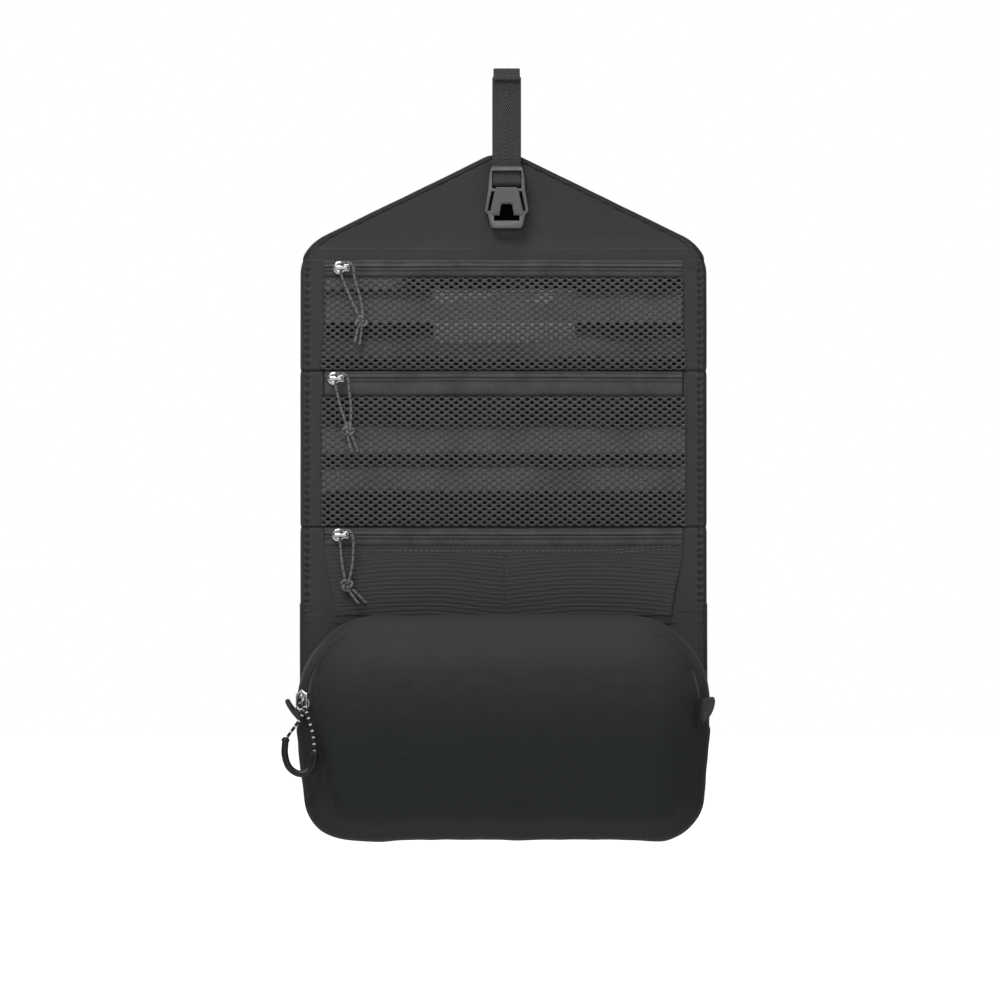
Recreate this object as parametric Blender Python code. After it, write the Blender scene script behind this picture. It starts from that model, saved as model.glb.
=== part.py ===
"""A hanging toiletry bag that opens flat and rolls up.

The bag hangs from a webbing loop. Below it lie a triangular flap, two mesh pockets, a ribbed
pocket and a zipped pouch, which fold against each other along horizontal seams. Millimetres are
turned into Blender's metres where a mesh is made. X runs to the right, Z up, and the side with
the pockets faces -Y. The origin is where a hook carries the loop.
"""

import math

import bmesh
import bpy
from mathutils import Matrix, Vector

MM = 0.001
GAP = 0.3  # clearance between neighbours that touch on the real bag

# ---- driving dimensions, in millimetres ----------------------------------------------------
PANEL_HALF_WIDTH = 141.0
FLAP_APEX_Z = -45.0  # where the flap's two slanting edges would meet
FLAP_SLOPE = 0.487  # fall of those edges for each millimetre outward
FOLD_FLAP_Z = -121.1
FOLD_UPPER_Z = -199.5
FOLD_MIDDLE_Z = -308.7
FOLD_POUCH_Z = -369.0
BOTTOM_Z = -526.4

SHELL_BACK_Y = 1.5  # the rear face of the whole panel
FABRIC = 1.2  # thickness of one ply with its coating and seam allowance
LINING_FRONT_Y = SHELL_BACK_Y - 2 * FABRIC - GAP
BORDER_WIDTH = 16.5
MESH_THICKNESS = 1.0
MESH_FRONT_Y = -4.1
TAPE_FRONT_Y = -3.2
TAPE_THICKNESS = 1.0
COIL_HALF_HEIGHT = 2.2
COIL_BACK_Y = TAPE_FRONT_Y - GAP
COIL_FRONT_Y = -5.0

WEBBING_WIDTH = 20.0
WRAP_WIDTH = 19.4  # where the webbing turns round a bar of the buckle
LADDER_LENGTH = 22.4
WEBBING = 1.2
STRAP_X = 2.2  # the strap and its buckle are sewn on a little to the right of the middle
LOOP_RADIUS = 4.0  # centreline of the webbing round the hook

SLIDER_LENGTH = 12.0
SLIDER_HALF_HEIGHT = 4.0
SLIDER_PLATE_Y = -6.5  # the front of the slider's plate
BAR_STAND_OFF = 3.9  # from the plate to the centre of the slider's bridge
BAR_Y = SLIDER_PLATE_Y - BAR_STAND_OFF
PLATE_THICKNESS = 1.2
PULL_CORD_RADIUS = 0.9
CORD_ROUND_BAR = 2.35

POUCH_TOP_Z = -371.4
POUCH_HALF_WIDTH = 143.5
POUCH_CORNER = 58.0  # the radius of its two upper corners at its widest outline
POUCH_WALL = 1.2
HOOD_HINGE_Z = -422.5
POUCH_FRONT_Y = -56.0
# The pouch's wall seen from above: how far in it lies from its widest outline at each depth.
REAR_GUSSET = [(-1.5, 3.0), (-16.0, 0.0), (-28.0, 1.5), (-34.2, 5.2)]
REAR_TAPE = [(-34.5, 5.5), (-36.9, 8.6)]
FRONT_TAPE = [(-37.2, 8.9), (-39.7, 12.1)]
FRONT_GUSSET = [(-39.9, 12.4), (-47.0, 15.5)]
FRONT_PANEL = [(-47.3, 15.8), (-53.0, 23.0), (POUCH_FRONT_Y, 34.0)]
MAIN_COIL_PROUD = 1.8
MAIN_COIL_LOW_Z = -440.0
ZIP_SLANT = math.radians(52.25)  # how far the main zip's face turns from the side to the front
GRIP_RADIUS = 2.4
MAIN_CORD_RADIUS = 1.1

# ---- the bodies: joint points and parents ---------------------------------------------------
SLIDER_X = {"upper": -113.4, "middle": -117.3, "lower": -114.1}
ZIP_Z = {"upper": -127.4, "middle": -204.8, "lower": -314.3}
TAPE_BELOW = {"upper": 7.0, "middle": 12.6, "lower": 8.6}
SECTION_TOP_Z = {"upper": FOLD_FLAP_Z, "middle": FOLD_UPPER_Z, "lower": FOLD_MIDDLE_Z}
SECTION_LOW_Z = {"upper": FOLD_UPPER_Z, "middle": FOLD_MIDDLE_Z, "lower": FOLD_POUCH_Z}

# The main zip's slider rides round the pouch's upper left corner, and starts level with its centre.
CORNER_CENTRE = Vector((POUCH_CORNER - POUCH_HALF_WIDTH, 0, POUCH_TOP_Z - POUCH_CORNER))


def main_zip_point(proud):
    """Where the main zip starts up its left side, that far out of its face."""
    depth = (REAR_TAPE[0][0] + REAR_TAPE[1][0]) / 2
    inset = (REAR_TAPE[0][1] + REAR_TAPE[1][1]) / 2
    x = -(POUCH_HALF_WIDTH - inset) - proud * math.cos(ZIP_SLANT)
    return Vector((x, depth - proud * math.sin(ZIP_SLANT), CORNER_CENTRE.z))


# The slider's coil room starts behind its plate, a gap in front of the coil.
MAIN_BAR = main_zip_point(MAIN_COIL_PROUD + GAP + PLATE_THICKNESS + BAR_STAND_OFF)

JOINT_POINTS = {
    "flap": (None, Vector((0, 0, 0))),
    "buckle": ("flap", Vector((0, -5.4, -52.5))),
    "upper": ("flap", Vector((0, LINING_FRONT_Y, FOLD_FLAP_Z))),
    "middle": ("upper", Vector((0, TAPE_FRONT_Y, FOLD_UPPER_Z))),
    "lower": ("middle", Vector((0, TAPE_FRONT_Y, FOLD_MIDDLE_Z))),
    "pouch": ("lower", Vector((0, TAPE_FRONT_Y, FOLD_POUCH_Z))),
    "hood": ("pouch", Vector((0, POUCH_FRONT_Y - GAP, HOOD_HINGE_Z))),
    "main_slider": ("pouch", CORNER_CENTRE),
    "main_pull": ("main_slider", MAIN_BAR),
}
for section in ("upper", "middle", "lower"):
    bar = Vector((SLIDER_X[section], BAR_Y, ZIP_Z[section]))
    JOINT_POINTS[section + "_slider"] = (section, bar)
    JOINT_POINTS[section + "_pull"] = (section + "_slider", bar)

# ---- materials: colour, roughness, metallic --------------------------------------------------
FINISHES = {
    "shell_fabric": ((0.045, 0.045, 0.046), 0.8, 0.0),
    "lining_fabric": ((0.040, 0.040, 0.041), 0.8, 0.0),
    "border_fabric": ((0.042, 0.044, 0.044), 0.8, 0.0),
    "mesh_fabric": ((0.060, 0.058, 0.058), 0.9, 0.0),
    "ribbed_fabric": ((0.036, 0.036, 0.036), 0.9, 0.0),
    "zip_tape": ((0.050, 0.048, 0.048), 0.9, 0.0),
    "zip_coil": ((0.030, 0.030, 0.031), 0.5, 0.0),
    "webbing": ((0.040, 0.041, 0.040), 0.8, 0.0),
    "buckle_plastic": ((0.075, 0.076, 0.075), 0.4, 0.0),
    "slider_metal": ((0.80, 0.80, 0.80), 0.25, 1.0),
    "pull_cord_grey": ((0.16, 0.16, 0.16), 0.8, 0.0),
    "pull_cord_black": ((0.012, 0.012, 0.012), 0.8, 0.0),
    "grip_rubber": ((0.010, 0.010, 0.010), 0.35, 0.0),
    "label_cloth": ((0.16, 0.155, 0.155), 0.8, 0.0),
}


def clear_scene():
    for obj in list(bpy.data.objects):
        bpy.data.objects.remove(obj)


def make_materials():
    made = {}
    for name, (colour, roughness, metallic) in FINISHES.items():
        material = bpy.data.materials.new(name)
        material.use_nodes = True
        shader = material.node_tree.nodes["Principled BSDF"]
        shader.inputs["Base Color"].default_value = (*colour, 1.0)
        shader.inputs["Roughness"].default_value = roughness
        shader.inputs["Metallic"].default_value = metallic
        made[name] = material
    return made


def make_bodies():
    """One empty on each joint's axis, nested as the joints are."""
    made = {}
    for name, (parent, point) in JOINT_POINTS.items():
        empty = bpy.data.objects.new(name + "_joint", None)
        bpy.context.scene.collection.objects.link(empty)
        if parent:
            empty.parent = made[parent]
            empty.location = (point - JOINT_POINTS[parent][1]) * MM
        else:
            empty.location = point * MM
        made[name] = empty
    return made


# ---- outlines ---------------------------------------------------------------------------------
def rounded(corners, steps=6):
    """A closed outline through corners (x, z, radius), each replaced by an arc."""
    points = []
    for i, (x, z, radius) in enumerate(corners):
        here = Vector((x, z))
        to_last = (Vector(corners[i - 1][:2]) - here).normalized()
        to_next = (Vector(corners[(i + 1) % len(corners)][:2]) - here).normalized()
        half = to_last.angle(to_next) / 2
        centre = here + (to_last + to_next).normalized() * (radius / math.sin(half))
        first = here + to_last * (radius / math.tan(half)) - centre
        last = here + to_next * (radius / math.tan(half)) - centre
        turn = first.angle_signed(last)
        for k in range(steps + 1):
            points.append(centre + Matrix.Rotation(-turn * k / steps, 2) @ first)
    return points


def clipped(outline, low, high):
    """The part of a convex outline between two heights."""
    for limit, sign in ((low, 1), (high, -1)):
        kept = []
        for i, here in enumerate(outline):
            last = outline[i - 1]
            inside, was_inside = (sign * (p.y - limit) >= 0 for p in (here, last))
            if inside != was_inside:
                kept.append(last.lerp(here, (limit - last.y) / (here.y - last.y)))
            if inside:
                kept.append(here)
        outline = kept
    return outline


def mirrored(right_side):
    """Corners of a shape that is the same on the left, from its right side, top to bottom."""
    left = [(-x, z, radius) for x, z, radius in reversed(right_side) if x > 0]
    return right_side + left


def panel_outline():
    shoulder_z = FLAP_APEX_Z - FLAP_SLOPE * PANEL_HALF_WIDTH
    return rounded(mirrored([
        (0.0, FLAP_APEX_Z, 30.0),
        (PANEL_HALF_WIDTH, shoulder_z, 30.0),
        (PANEL_HALF_WIDTH, -460.0, 20.0),
        (135.0, BOTTOM_Z, 40.0),
    ]))


def pouch_outline(inset):
    """The pouch seen from the front, with its lower corners rounded."""
    return rounded(mirrored([
        (POUCH_HALF_WIDTH - inset, POUCH_TOP_Z - inset, 1.0),
        (POUCH_HALF_WIDTH - inset, -452.0, 10.0),
        (135.5 - inset, BOTTOM_Z + inset, 40.0 - 0.6 * inset),
    ]))


# ---- solids -----------------------------------------------------------------------------------
class Builder:
    def __init__(self):
        self.materials = make_materials()
        self.bodies = make_bodies()

    def add(self, name, mesh, body, material, smooth=False):
        """Puts a mesh made in millimetres under its body's joint."""
        point = JOINT_POINTS[body][1]
        mesh.transform(Matrix.Scale(MM, 4) @ Matrix.Translation(-point))
        obj = bpy.data.objects.new(name, mesh)
        bpy.context.scene.collection.objects.link(obj)
        obj.parent = self.bodies[body]
        if material:
            mesh.materials.append(self.materials[material])
        if smooth:
            mesh.shade_smooth()
            mesh.set_sharp_from_angle(angle=math.radians(40))
        return obj

    def loft(self, name, sections, body, material, smooth=False):
        """A solid through outlines (x, z) that have as many points each, at the depths given."""
        mesh = bpy.data.meshes.new(name)
        bm = bmesh.new()
        rings = [[bm.verts.new((p.x, depth, p.y)) for p in outline] for depth, outline in sections]
        for ring, after in zip(rings, rings[1:]):
            for i in range(len(ring)):
                bm.faces.new((ring[i - 1], ring[i], after[i], after[i - 1]))
        bm.faces.new(rings[0])
        bm.faces.new(rings[-1])
        bmesh.ops.recalc_face_normals(bm, faces=bm.faces)
        bm.to_mesh(mesh)
        bm.free()
        return self.add(name, mesh, body, material, smooth)

    def plate(self, name, outline, front, back, body, material):
        return self.loft(name, [(front, outline), (back, outline)], body, material)

    def box(self, name, low, high, body, material):
        outline = [Vector(p) for p in (
            (low[0], low[2]), (high[0], low[2]), (high[0], high[2]), (low[0], high[2]),
        )]
        return self.plate(name, outline, low[1], high[1], body, material)

    def band(self, name, sections, body, material):
        """A curved strip of wall, from outer and inner open paths (x, z) with a depth each."""
        mesh = bpy.data.meshes.new(name)
        bm = bmesh.new()
        rings = []
        for (outer_y, outer), (inner_y, inner) in sections:
            ring = [bm.verts.new((p.x, outer_y, p.y)) for p in outer]
            rings.append(ring + [bm.verts.new((p.x, inner_y, p.y)) for p in reversed(inner)])
        count = len(rings[0])
        for ring, after in zip(rings, rings[1:]):
            for i in range(count):
                bm.faces.new((ring[i - 1], ring[i], after[i], after[i - 1]))
        for ring in (rings[0], rings[-1]):
            for i in range(count // 2 - 1):
                bm.faces.new((ring[i], ring[i + 1], ring[count - 2 - i], ring[count - 1 - i]))
        bmesh.ops.recalc_face_normals(bm, faces=bm.faces)
        bm.to_mesh(mesh)
        bm.free()
        return self.add(name, mesh, body, material, smooth=True)

    def ribbon(self, name, path, width, body):
        """Webbing on the strap's line that follows a path (y, z), with its width along X."""
        outline = strip_outline(path, WEBBING)
        mesh = bpy.data.meshes.new(name)
        bm = bmesh.new()
        ends = [
            [bm.verts.new((STRAP_X + side * width / 2, p.x, p.y)) for p in outline]
            for side in (-1, 1)
        ]
        count = len(outline)
        for i in range(count):
            bm.faces.new((ends[0][i - 1], ends[0][i], ends[1][i], ends[1][i - 1]))
        for end in ends:
            for i in range(count // 2 - 1):
                bm.faces.new((end[i], end[i + 1], end[count - 2 - i], end[count - 1 - i]))
        bmesh.ops.recalc_face_normals(bm, faces=bm.faces)
        bm.to_mesh(mesh)
        bm.free()
        return self.add(name, mesh, body, "webbing")

    def rod(self, name, radius, length, centre, body):
        """A round bar along X on the strap's line, round a point (y, z)."""
        mesh = bpy.data.meshes.new(name)
        bm = bmesh.new()
        bmesh.ops.create_cone(
            bm, cap_ends=True, segments=12, radius1=radius, radius2=radius, depth=length,
            matrix=Matrix.Translation((STRAP_X, *centre)) @ Matrix.Rotation(math.pi / 2, 4, "Y"),
        )
        bm.to_mesh(mesh)
        bm.free()
        return self.add(name, mesh, body, None)

    def cup(self, name, cut, body, material):
        """The pouch's front as a thin dished wall, cut off along the hood's hinge."""
        mesh = bpy.data.meshes.new(name)
        bm = bmesh.new()
        skins = []
        for thickness in (0.0, POUCH_WALL):
            rings = []
            for depth, inset in FRONT_PANEL:
                back = 0.0 if inset == FRONT_PANEL[0][1] else thickness
                path = pouch_path(inset + thickness, **cut)
                rings.append([bm.verts.new((p.x, depth + back, p.y)) for p in path])
            skins.append(rings)
        for rings in skins:
            for ring, after in zip(rings, rings[1:]):
                for i in range(len(ring) - 1):
                    bm.faces.new((ring[i], ring[i + 1], after[i + 1], after[i]))
            bm.faces.new(rings[-1])
        rim, inner_rim = skins[0][0], skins[1][0]
        for i in range(len(rim) - 1):
            bm.faces.new((rim[i], rim[i + 1], inner_rim[i + 1], inner_rim[i]))
        edge, inner_edge = (
            [ring[0] for ring in rings] + [ring[-1] for ring in reversed(rings)] for rings in skins
        )
        for i in range(len(edge) - 1):
            bm.faces.new((edge[i], edge[i + 1], inner_edge[i + 1], inner_edge[i]))
        bmesh.ops.recalc_face_normals(bm, faces=bm.faces)
        bm.to_mesh(mesh)
        bm.free()
        return self.add(name, mesh, body, material, smooth=True)

    def tube(self, name, points, radius, body, material, sides=2):
        """A round cord through the points, as a curve with a bevel and filled caps."""
        curve = bpy.data.curves.new(name, "CURVE")
        curve.dimensions = "3D"
        curve.bevel_depth = radius * MM
        curve.bevel_resolution = sides
        curve.use_fill_caps = True
        spline = curve.splines.new("POLY")
        spline.points.add(len(points) - 1)
        origin = JOINT_POINTS[body][1]
        for place, point in zip(spline.points, points):
            place.co = (*((point - origin) * MM), 1.0)
        obj = bpy.data.objects.new(name, curve)
        bpy.context.scene.collection.objects.link(obj)
        obj.parent = self.bodies[body]
        curve.materials.append(self.materials[material])
        return obj

    def combine(self, target, tool, operation):
        """Adds a Boolean to target, and turns its tool into a helper that isn't a part."""
        tool.hide_render = True
        tool.display_type = "WIRE"
        modifier = target.modifiers.new(operation.lower(), "BOOLEAN")
        modifier.operation = operation
        modifier.object = tool
        modifier.solver = "EXACT"


def strip_outline(path, thickness):
    """Both edges of a strip of that thickness round a path, as one closed loop."""
    points = [Vector(p) for p in path]
    left, right = [], []
    for i, here in enumerate(points):
        ahead = (points[min(i + 1, len(points) - 1)] - here)
        behind = (here - points[max(i - 1, 0)])
        directions = [d.normalized() for d in (behind, ahead) if d.length > 1e-9]
        along = sum(directions, Vector((0, 0))).normalized()
        widen = 1 / max(0.5, along.dot(directions[0]))
        side = Vector((-along.y, along.x)) * (thickness / 2 * widen)
        left.append(here + side)
        right.append(here - side)
    return left + list(reversed(right))


def arc(centre, radius, start, end, steps):
    """Points (y, z) on an arc, its angles in degrees from +Y towards +Z."""
    angles = [math.radians(start + (end - start) * k / steps) for k in range(steps + 1)]
    return [(centre[0] + radius * math.cos(a), centre[1] + radius * math.sin(a)) for a in angles]


def smooth_route(points, spacing):
    """Points about that far apart on a smooth curve through the route's own points."""
    route = [Vector(p) for p in points]
    ends = [2 * route[0] - route[1], *route, 2 * route[-1] - route[-2]]
    fine = []
    for a, b, c, d in zip(ends, ends[1:], ends[2:], ends[3:]):
        steps = max(2, math.ceil((c - b).length / (spacing / 4)))
        for k in range(steps):
            t = k / steps
            fine.append(0.5 * (
                2 * b + (c - a) * t + (2 * a - 5 * b + 4 * c - d) * t**2
                + (3 * b - a - 3 * c + d) * t**3
            ))
    kept = [fine[0]]
    for point in fine:
        if (point - kept[-1]).length >= spacing:
            kept.append(point)
    if (route[-1] - kept[-1]).length < spacing / 2:
        kept.pop()
    return kept + [route[-1]]


# ---- the strap and its buckle -----------------------------------------------------------------
STRAP_REAR_Y = 3.4  # centreline of the layer that is sewn behind the flap
STRAP_FRONT_Y = STRAP_REAR_Y - 2 * LOOP_RADIUS
TAIL_Y = STRAP_FRONT_Y - WEBBING - 0.5
LOOP_CENTRE_Z = -LOOP_RADIUS + WEBBING / 2
STRAP_LOW_Z = -50.4
TAIL_TOP_Z = 11.9
HEM_LOW_Z = 4.6
LADDER_BAR = (-6.0, -67.5)
LADDER_BAR_RADIUS = 1.5
BUCKLE_TOP_Z = -56.7


def build_strap(b):
    centre = (STRAP_REAR_Y - LOOP_RADIUS, LOOP_CENTRE_Z)
    loop = [(STRAP_REAR_Y, -46.8)]
    loop += arc(centre, LOOP_RADIUS, 0, 180, 12)
    loop += [(STRAP_FRONT_Y, STRAP_LOW_Z)]
    b.ribbon("strap_loop", loop, WEBBING_WIDTH, "flap")

    hem_y = TAIL_Y - WEBBING - GAP
    turn = (WEBBING + GAP) / 2
    tail = [(TAIL_Y, STRAP_LOW_Z)]
    tail += arc((TAIL_Y - turn, TAIL_TOP_Z - WEBBING / 2 - turn), turn, 0, 180, 6)
    tail += [(hem_y, HEM_LOW_Z)]
    b.ribbon("strap_tail", tail, WEBBING_WIDTH, "flap")

    around = LADDER_BAR_RADIUS + GAP + WEBBING / 2
    wrap = [(TAIL_Y, -54.2), (TAIL_Y - 0.1, -60.5)]
    wrap += arc(LADDER_BAR, around, 160, 380, 12)
    wrap += [(STRAP_FRONT_Y + 0.1, -60.5), (STRAP_FRONT_Y, -54.2)]
    b.ribbon("strap_wrap", wrap, WRAP_WIDTH, "buckle")

    root_y = SHELL_BACK_Y + GAP + WEBBING / 2
    root = [(root_y + 0.8, -52.6), (root_y, -57.0), (root_y, -84.0)]
    b.ribbon("strap_root", root, WEBBING_WIDTH, "flap")


def build_socket(b):
    """The buckle's female half: a ladder for the webbing over a socket that opens downwards."""
    top = BUCKLE_TOP_Z
    on_line = Vector((STRAP_X, 0))
    outline = rounded(mirrored([
        (10.8, top, 1.5),
        (12.4, top - 9.0, 1.0),
        (12.8, top - 16.5, 1.0),
        (15.2, top - 31.0, 1.5),
        (13.0, top - 33.5, 1.0),
        (10.8, top - 43.0, 2.5),
    ]), steps=2)
    outline = [p + on_line for p in outline]
    front, back = -9.8, LINING_FRONT_Y - 0.6
    socket = b.plate("buckle_socket", outline, front, back, "buckle", "buckle_plastic")
    cuts = {
        # the ladder's window, the thinner ladder, and the socket with its mouth
        "window": ((-10.4, -20, top - 15.5), (10.4, 20, top - 2.8)),
        "ladder_back": ((-20, -4.6, top - 14.5), (20, 20, top + 5)),
        "bar_back": ((-10.4, -7.4, top - 15.5), (10.4, 20, top + 5)),
        "socket": ((-11.0, -8.4, top - 60), (11.0, -3.2, top - 19.0)),
        "side_left": ((-30, -7.0, top - 29.0), (-10.0, -4.6, top - 20.5)),
        "side_right": ((10.0, -7.0, top - 29.0), (30, -4.6, top - 20.5)),
        "mouth": ((-9.0, -20, top - 38.0), (9.0, -5.0, top - 34.2)),
    }
    for name, (low, high) in cuts.items():
        low, high = ((x + STRAP_X, y, z) for x, y, z in (low, high))
        b.combine(socket, b.box("cut_" + name, low, high, "buckle", None), "DIFFERENCE")
    arch = [Vector(p) + on_line for p in (
        (-5.4, top - 36), (5.4, top - 36), (4.0, top - 27.5), (3.0, top - 26.2),
        (-3.0, top - 26.2), (-4.0, top - 27.5))]
    b.combine(socket, b.plate("cut_arch", arch, -20, -6.5, "buckle", None), "DIFFERENCE")
    for side in (-1, 1):
        slot = [Vector((side * x, z)) + on_line for x, z in (
            (8.5, top - 17.4), (10.6, top - 17.4), (13.5, top - 31.0), (11.4, top - 31.0))]
        b.combine(socket, b.plate(f"cut_slot_{side}", slot, -20, 20, "buckle", None), "DIFFERENCE")
    bar = b.rod("ladder_bar", LADDER_BAR_RADIUS, LADDER_LENGTH, LADDER_BAR, "buckle")
    b.combine(socket, bar, "UNION")


def build_plug(b):
    """The buckle's male half, on a short strap sewn to the pouch's back."""
    low_y, high_y = 3.3, 7.3
    bar_z, tip_z = -452.0, -487.0
    bar_radius = 1.4
    on_line = Vector((STRAP_X, 0))
    arm = [(6.6, bar_z - 6), (10.2, bar_z - 6), (9.6, tip_z + 15), (11.6, tip_z + 12),
           (9.0, tip_z), (6.6, tip_z), (7.2, tip_z + 12)]
    base = [Vector(p) + on_line for p in (
        (-12.5, bar_z + 3.5), (12.5, bar_z + 3.5), (12.5, bar_z - 9), (-12.5, bar_z - 9))]
    plug = b.plate("buckle_plug", base, low_y, high_y, "pouch", "buckle_plastic")
    slot = ((STRAP_X - 10.4, -20, bar_z - 4.6), (STRAP_X + 10.4, 20, bar_z + 10))
    b.combine(plug, b.box("cut_slot", *slot, "pouch", None), "DIFFERENCE")
    for side in (-1, 1):
        points = [Vector((side * x, z)) + on_line for x, z in arm]
        b.combine(plug, b.plate(f"arm_{side}", points, low_y + 0.4, high_y - 0.4, "pouch", None), "UNION")
    tongue = [Vector(p) + on_line for p in (
        (-3.2, bar_z - 6), (3.2, bar_z - 6), (2.2, tip_z + 6), (-2.2, tip_z + 6))]
    b.combine(plug, b.plate("tongue", tongue, low_y + 0.8, high_y - 0.8, "pouch", None), "UNION")
    centre = ((low_y + high_y) / 2, bar_z)
    b.combine(plug, b.rod("plug_bar", bar_radius, LADDER_LENGTH, centre, "pouch"), "UNION")
    under_y = SHELL_BACK_Y + GAP + WEBBING / 2
    over_y = under_y + WEBBING + GAP
    strap = [(under_y, -424.0), (under_y, bar_z + 5)]
    strap += arc(centre, bar_radius + GAP + WEBBING / 2, 200, 380, 10)
    strap += [(over_y + 0.4, bar_z + 6.5), (over_y, bar_z + 9), (over_y, -424.0)]
    b.ribbon("plug_strap", strap, WRAP_WIDTH, "pouch")


# ---- the panel --------------------------------------------------------------------------------
def build_panel(b):
    """Outer shell and lining of each section. The seams leave room for the folds."""
    outline = panel_outline()
    spans = {
        "flap": (FOLD_FLAP_Z, 0),
        "upper": (FOLD_UPPER_Z, FOLD_FLAP_Z),
        "middle": (FOLD_MIDDLE_Z, FOLD_UPPER_Z),
        "lower": (FOLD_POUCH_Z, FOLD_MIDDLE_Z),
        "pouch": (BOTTOM_Z - 10, FOLD_POUCH_Z),
    }
    for name, (low, high) in spans.items():
        piece = clipped(outline, low + GAP, high - GAP)
        b.plate(name + "_shell", piece, SHELL_BACK_Y - FABRIC, SHELL_BACK_Y, name, "shell_fabric")
        lining_back = LINING_FRONT_Y + FABRIC
        b.plate(name + "_lining", piece, LINING_FRONT_Y, lining_back, name, "lining_fabric")


def build_pocket(b, section):
    """Side borders, pocket front, zip tapes, coil, slider and cord pull of one flat pocket."""
    high, low, zip_z = SECTION_TOP_Z[section] - 1.4, SECTION_LOW_Z[section], ZIP_Z[section]
    inner_x = PANEL_HALF_WIDTH - BORDER_WIDTH
    outline = clipped(panel_outline(), low + 0.8, high)
    for side, name in ((-1, "left"), (1, "right")):
        edge = [Vector((side * (abs(p.x) - 0.8), p.y)) for p in outline if side * p.x > 100]
        inner = [(side * inner_x, high), (side * inner_x, low + 0.8)]
        ends = sorted(inner, key=lambda p: abs(p[1] - edge[-1].y))
        border = edge + [Vector(p) for p in ends]
        front = LINING_FRONT_Y - GAP - FABRIC
        b.plate(f"{section}_border_{name}", border, front, front + FABRIC, section, "border_fabric")

    inner_x -= GAP
    tape_back = TAPE_FRONT_Y + TAPE_THICKNESS
    for name, near, far in (("top", 0.2, high - zip_z), ("bottom", -0.2, -TAPE_BELOW[section])):
        span = sorted((zip_z + near, zip_z + far))
        b.box(f"{section}_zip_tape_{name}", (-inner_x, TAPE_FRONT_Y, span[0]),
              (inner_x, tape_back, span[1]), section, "zip_tape")
    coil_low = (-inner_x, COIL_FRONT_Y, zip_z - COIL_HALF_HEIGHT)
    coil_high = (inner_x, COIL_BACK_Y, zip_z + COIL_HALF_HEIGHT)
    b.box(f"{section}_zip_coil", coil_low, coil_high, section, "zip_coil")

    pocket_top = zip_z - TAPE_BELOW[section] - GAP
    kind = "ribbed" if section == "lower" else "mesh"
    b.box(f"{section}_pocket_{kind}", (-inner_x, MESH_FRONT_Y, low + 2.0),
          (inner_x, MESH_FRONT_Y + MESH_THICKNESS, pocket_top), section, kind + "_fabric")
    if section == "upper":
        b.box("care_label", (-49.0, -2.3, -180.0), (50.0, -1.5, -143.0), section, "label_cloth")

    bar = Vector((SLIDER_X[section], BAR_Y, zip_z))
    build_slider(b, section, section + "_slider", Matrix.Translation(bar))
    build_cord_pull(b, section, bar)


# ---- sliders and cord pulls ---------------------------------------------------------------------
def build_slider(b, zip_name, body, place):
    """A zip slider in a frame with its bridge's centre at the origin, the zip along X and the
    outside towards -Y. Its plate straddles the coil, and a bridge over it takes the pull."""
    plate_y = BAR_STAND_OFF
    coil_room = plate_y + PLATE_THICKNESS
    tape_room = coil_room + GAP + (COIL_BACK_Y - COIL_FRONT_Y)
    half = SLIDER_LENGTH / 2
    outline = rounded([
        (-half, SLIDER_HALF_HEIGHT, 3.4), (half - 4, SLIDER_HALF_HEIGHT, 1.5),
        (half, SLIDER_HALF_HEIGHT - 1.0, 0.8), (half, 1.0 - SLIDER_HALF_HEIGHT, 0.8),
        (half - 4, -SLIDER_HALF_HEIGHT, 1.5), (-half, -SLIDER_HALF_HEIGHT, 3.4),
    ], steps=3)
    name = zip_name + "_zip_slider"
    slider = local_loft(b, name, [(plate_y, outline), (tape_room, outline)], body, "slider_metal", place)
    groove = [Vector(p) for p in (
        (-20, -COIL_HALF_HEIGHT - GAP), (20, -COIL_HALF_HEIGHT - GAP),
        (20, COIL_HALF_HEIGHT + GAP), (-20, COIL_HALF_HEIGHT + GAP))]
    cut = local_loft(b, name + "_groove", [(coil_room, groove), (20, groove)], body, None, place)
    b.combine(slider, cut, "DIFFERENCE")
    bridge_path = [(-4.2, plate_y + 0.5), (-4.2, 0.8), (-3.4, 0), (3.4, 0), (4.2, 0.8), (4.2, plate_y + 0.5)]
    bridge_mesh = bpy.data.meshes.new(name + "_bridge")
    bm = bmesh.new()
    loop = strip_outline(bridge_path, 1.2)
    rings = [[bm.verts.new((p.x, p.y, z)) for p in loop] for z in (-1.2, 1.2)]
    count = len(loop)
    for i in range(count):
        bm.faces.new((rings[0][i - 1], rings[0][i], rings[1][i], rings[1][i - 1]))
    for ring in rings:
        for i in range(count // 2 - 1):
            bm.faces.new((ring[i], ring[i + 1], ring[count - 2 - i], ring[count - 1 - i]))
    bmesh.ops.recalc_face_normals(bm, faces=bm.faces)
    bm.to_mesh(bridge_mesh)
    bm.free()
    bridge_mesh.transform(place)
    b.combine(slider, b.add(name + "_bridge", bridge_mesh, body, None), "UNION")


def local_loft(b, name, sections, body, material, place):
    """A loft made in a slider's own frame and then put in its place."""
    made = b.loft(name, sections, body, material)
    point = JOINT_POINTS[body][1]
    to_mm = Matrix.Translation(point) @ Matrix.Scale(1 / MM, 4)
    made.data.transform(to_mm.inverted() @ place @ to_mm)
    return made


# Where each pull's knot hangs from its slider's bridge, and which way its two tails point.
KNOTS = {
    "upper": {"offset": (13.8, 1.6, -38.0), "tail": (-3.0, 0.6, -14.5)},
    "middle": {"offset": (8.6, 1.6, -36.0), "tail": (5.0, 0.6, -15.5)},
    "lower": {"offset": (4.6, 1.6, -35.0), "tail": (11.0, 0.6, -13.0)},
}
KNOT_RADIUS = 2.5


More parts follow.
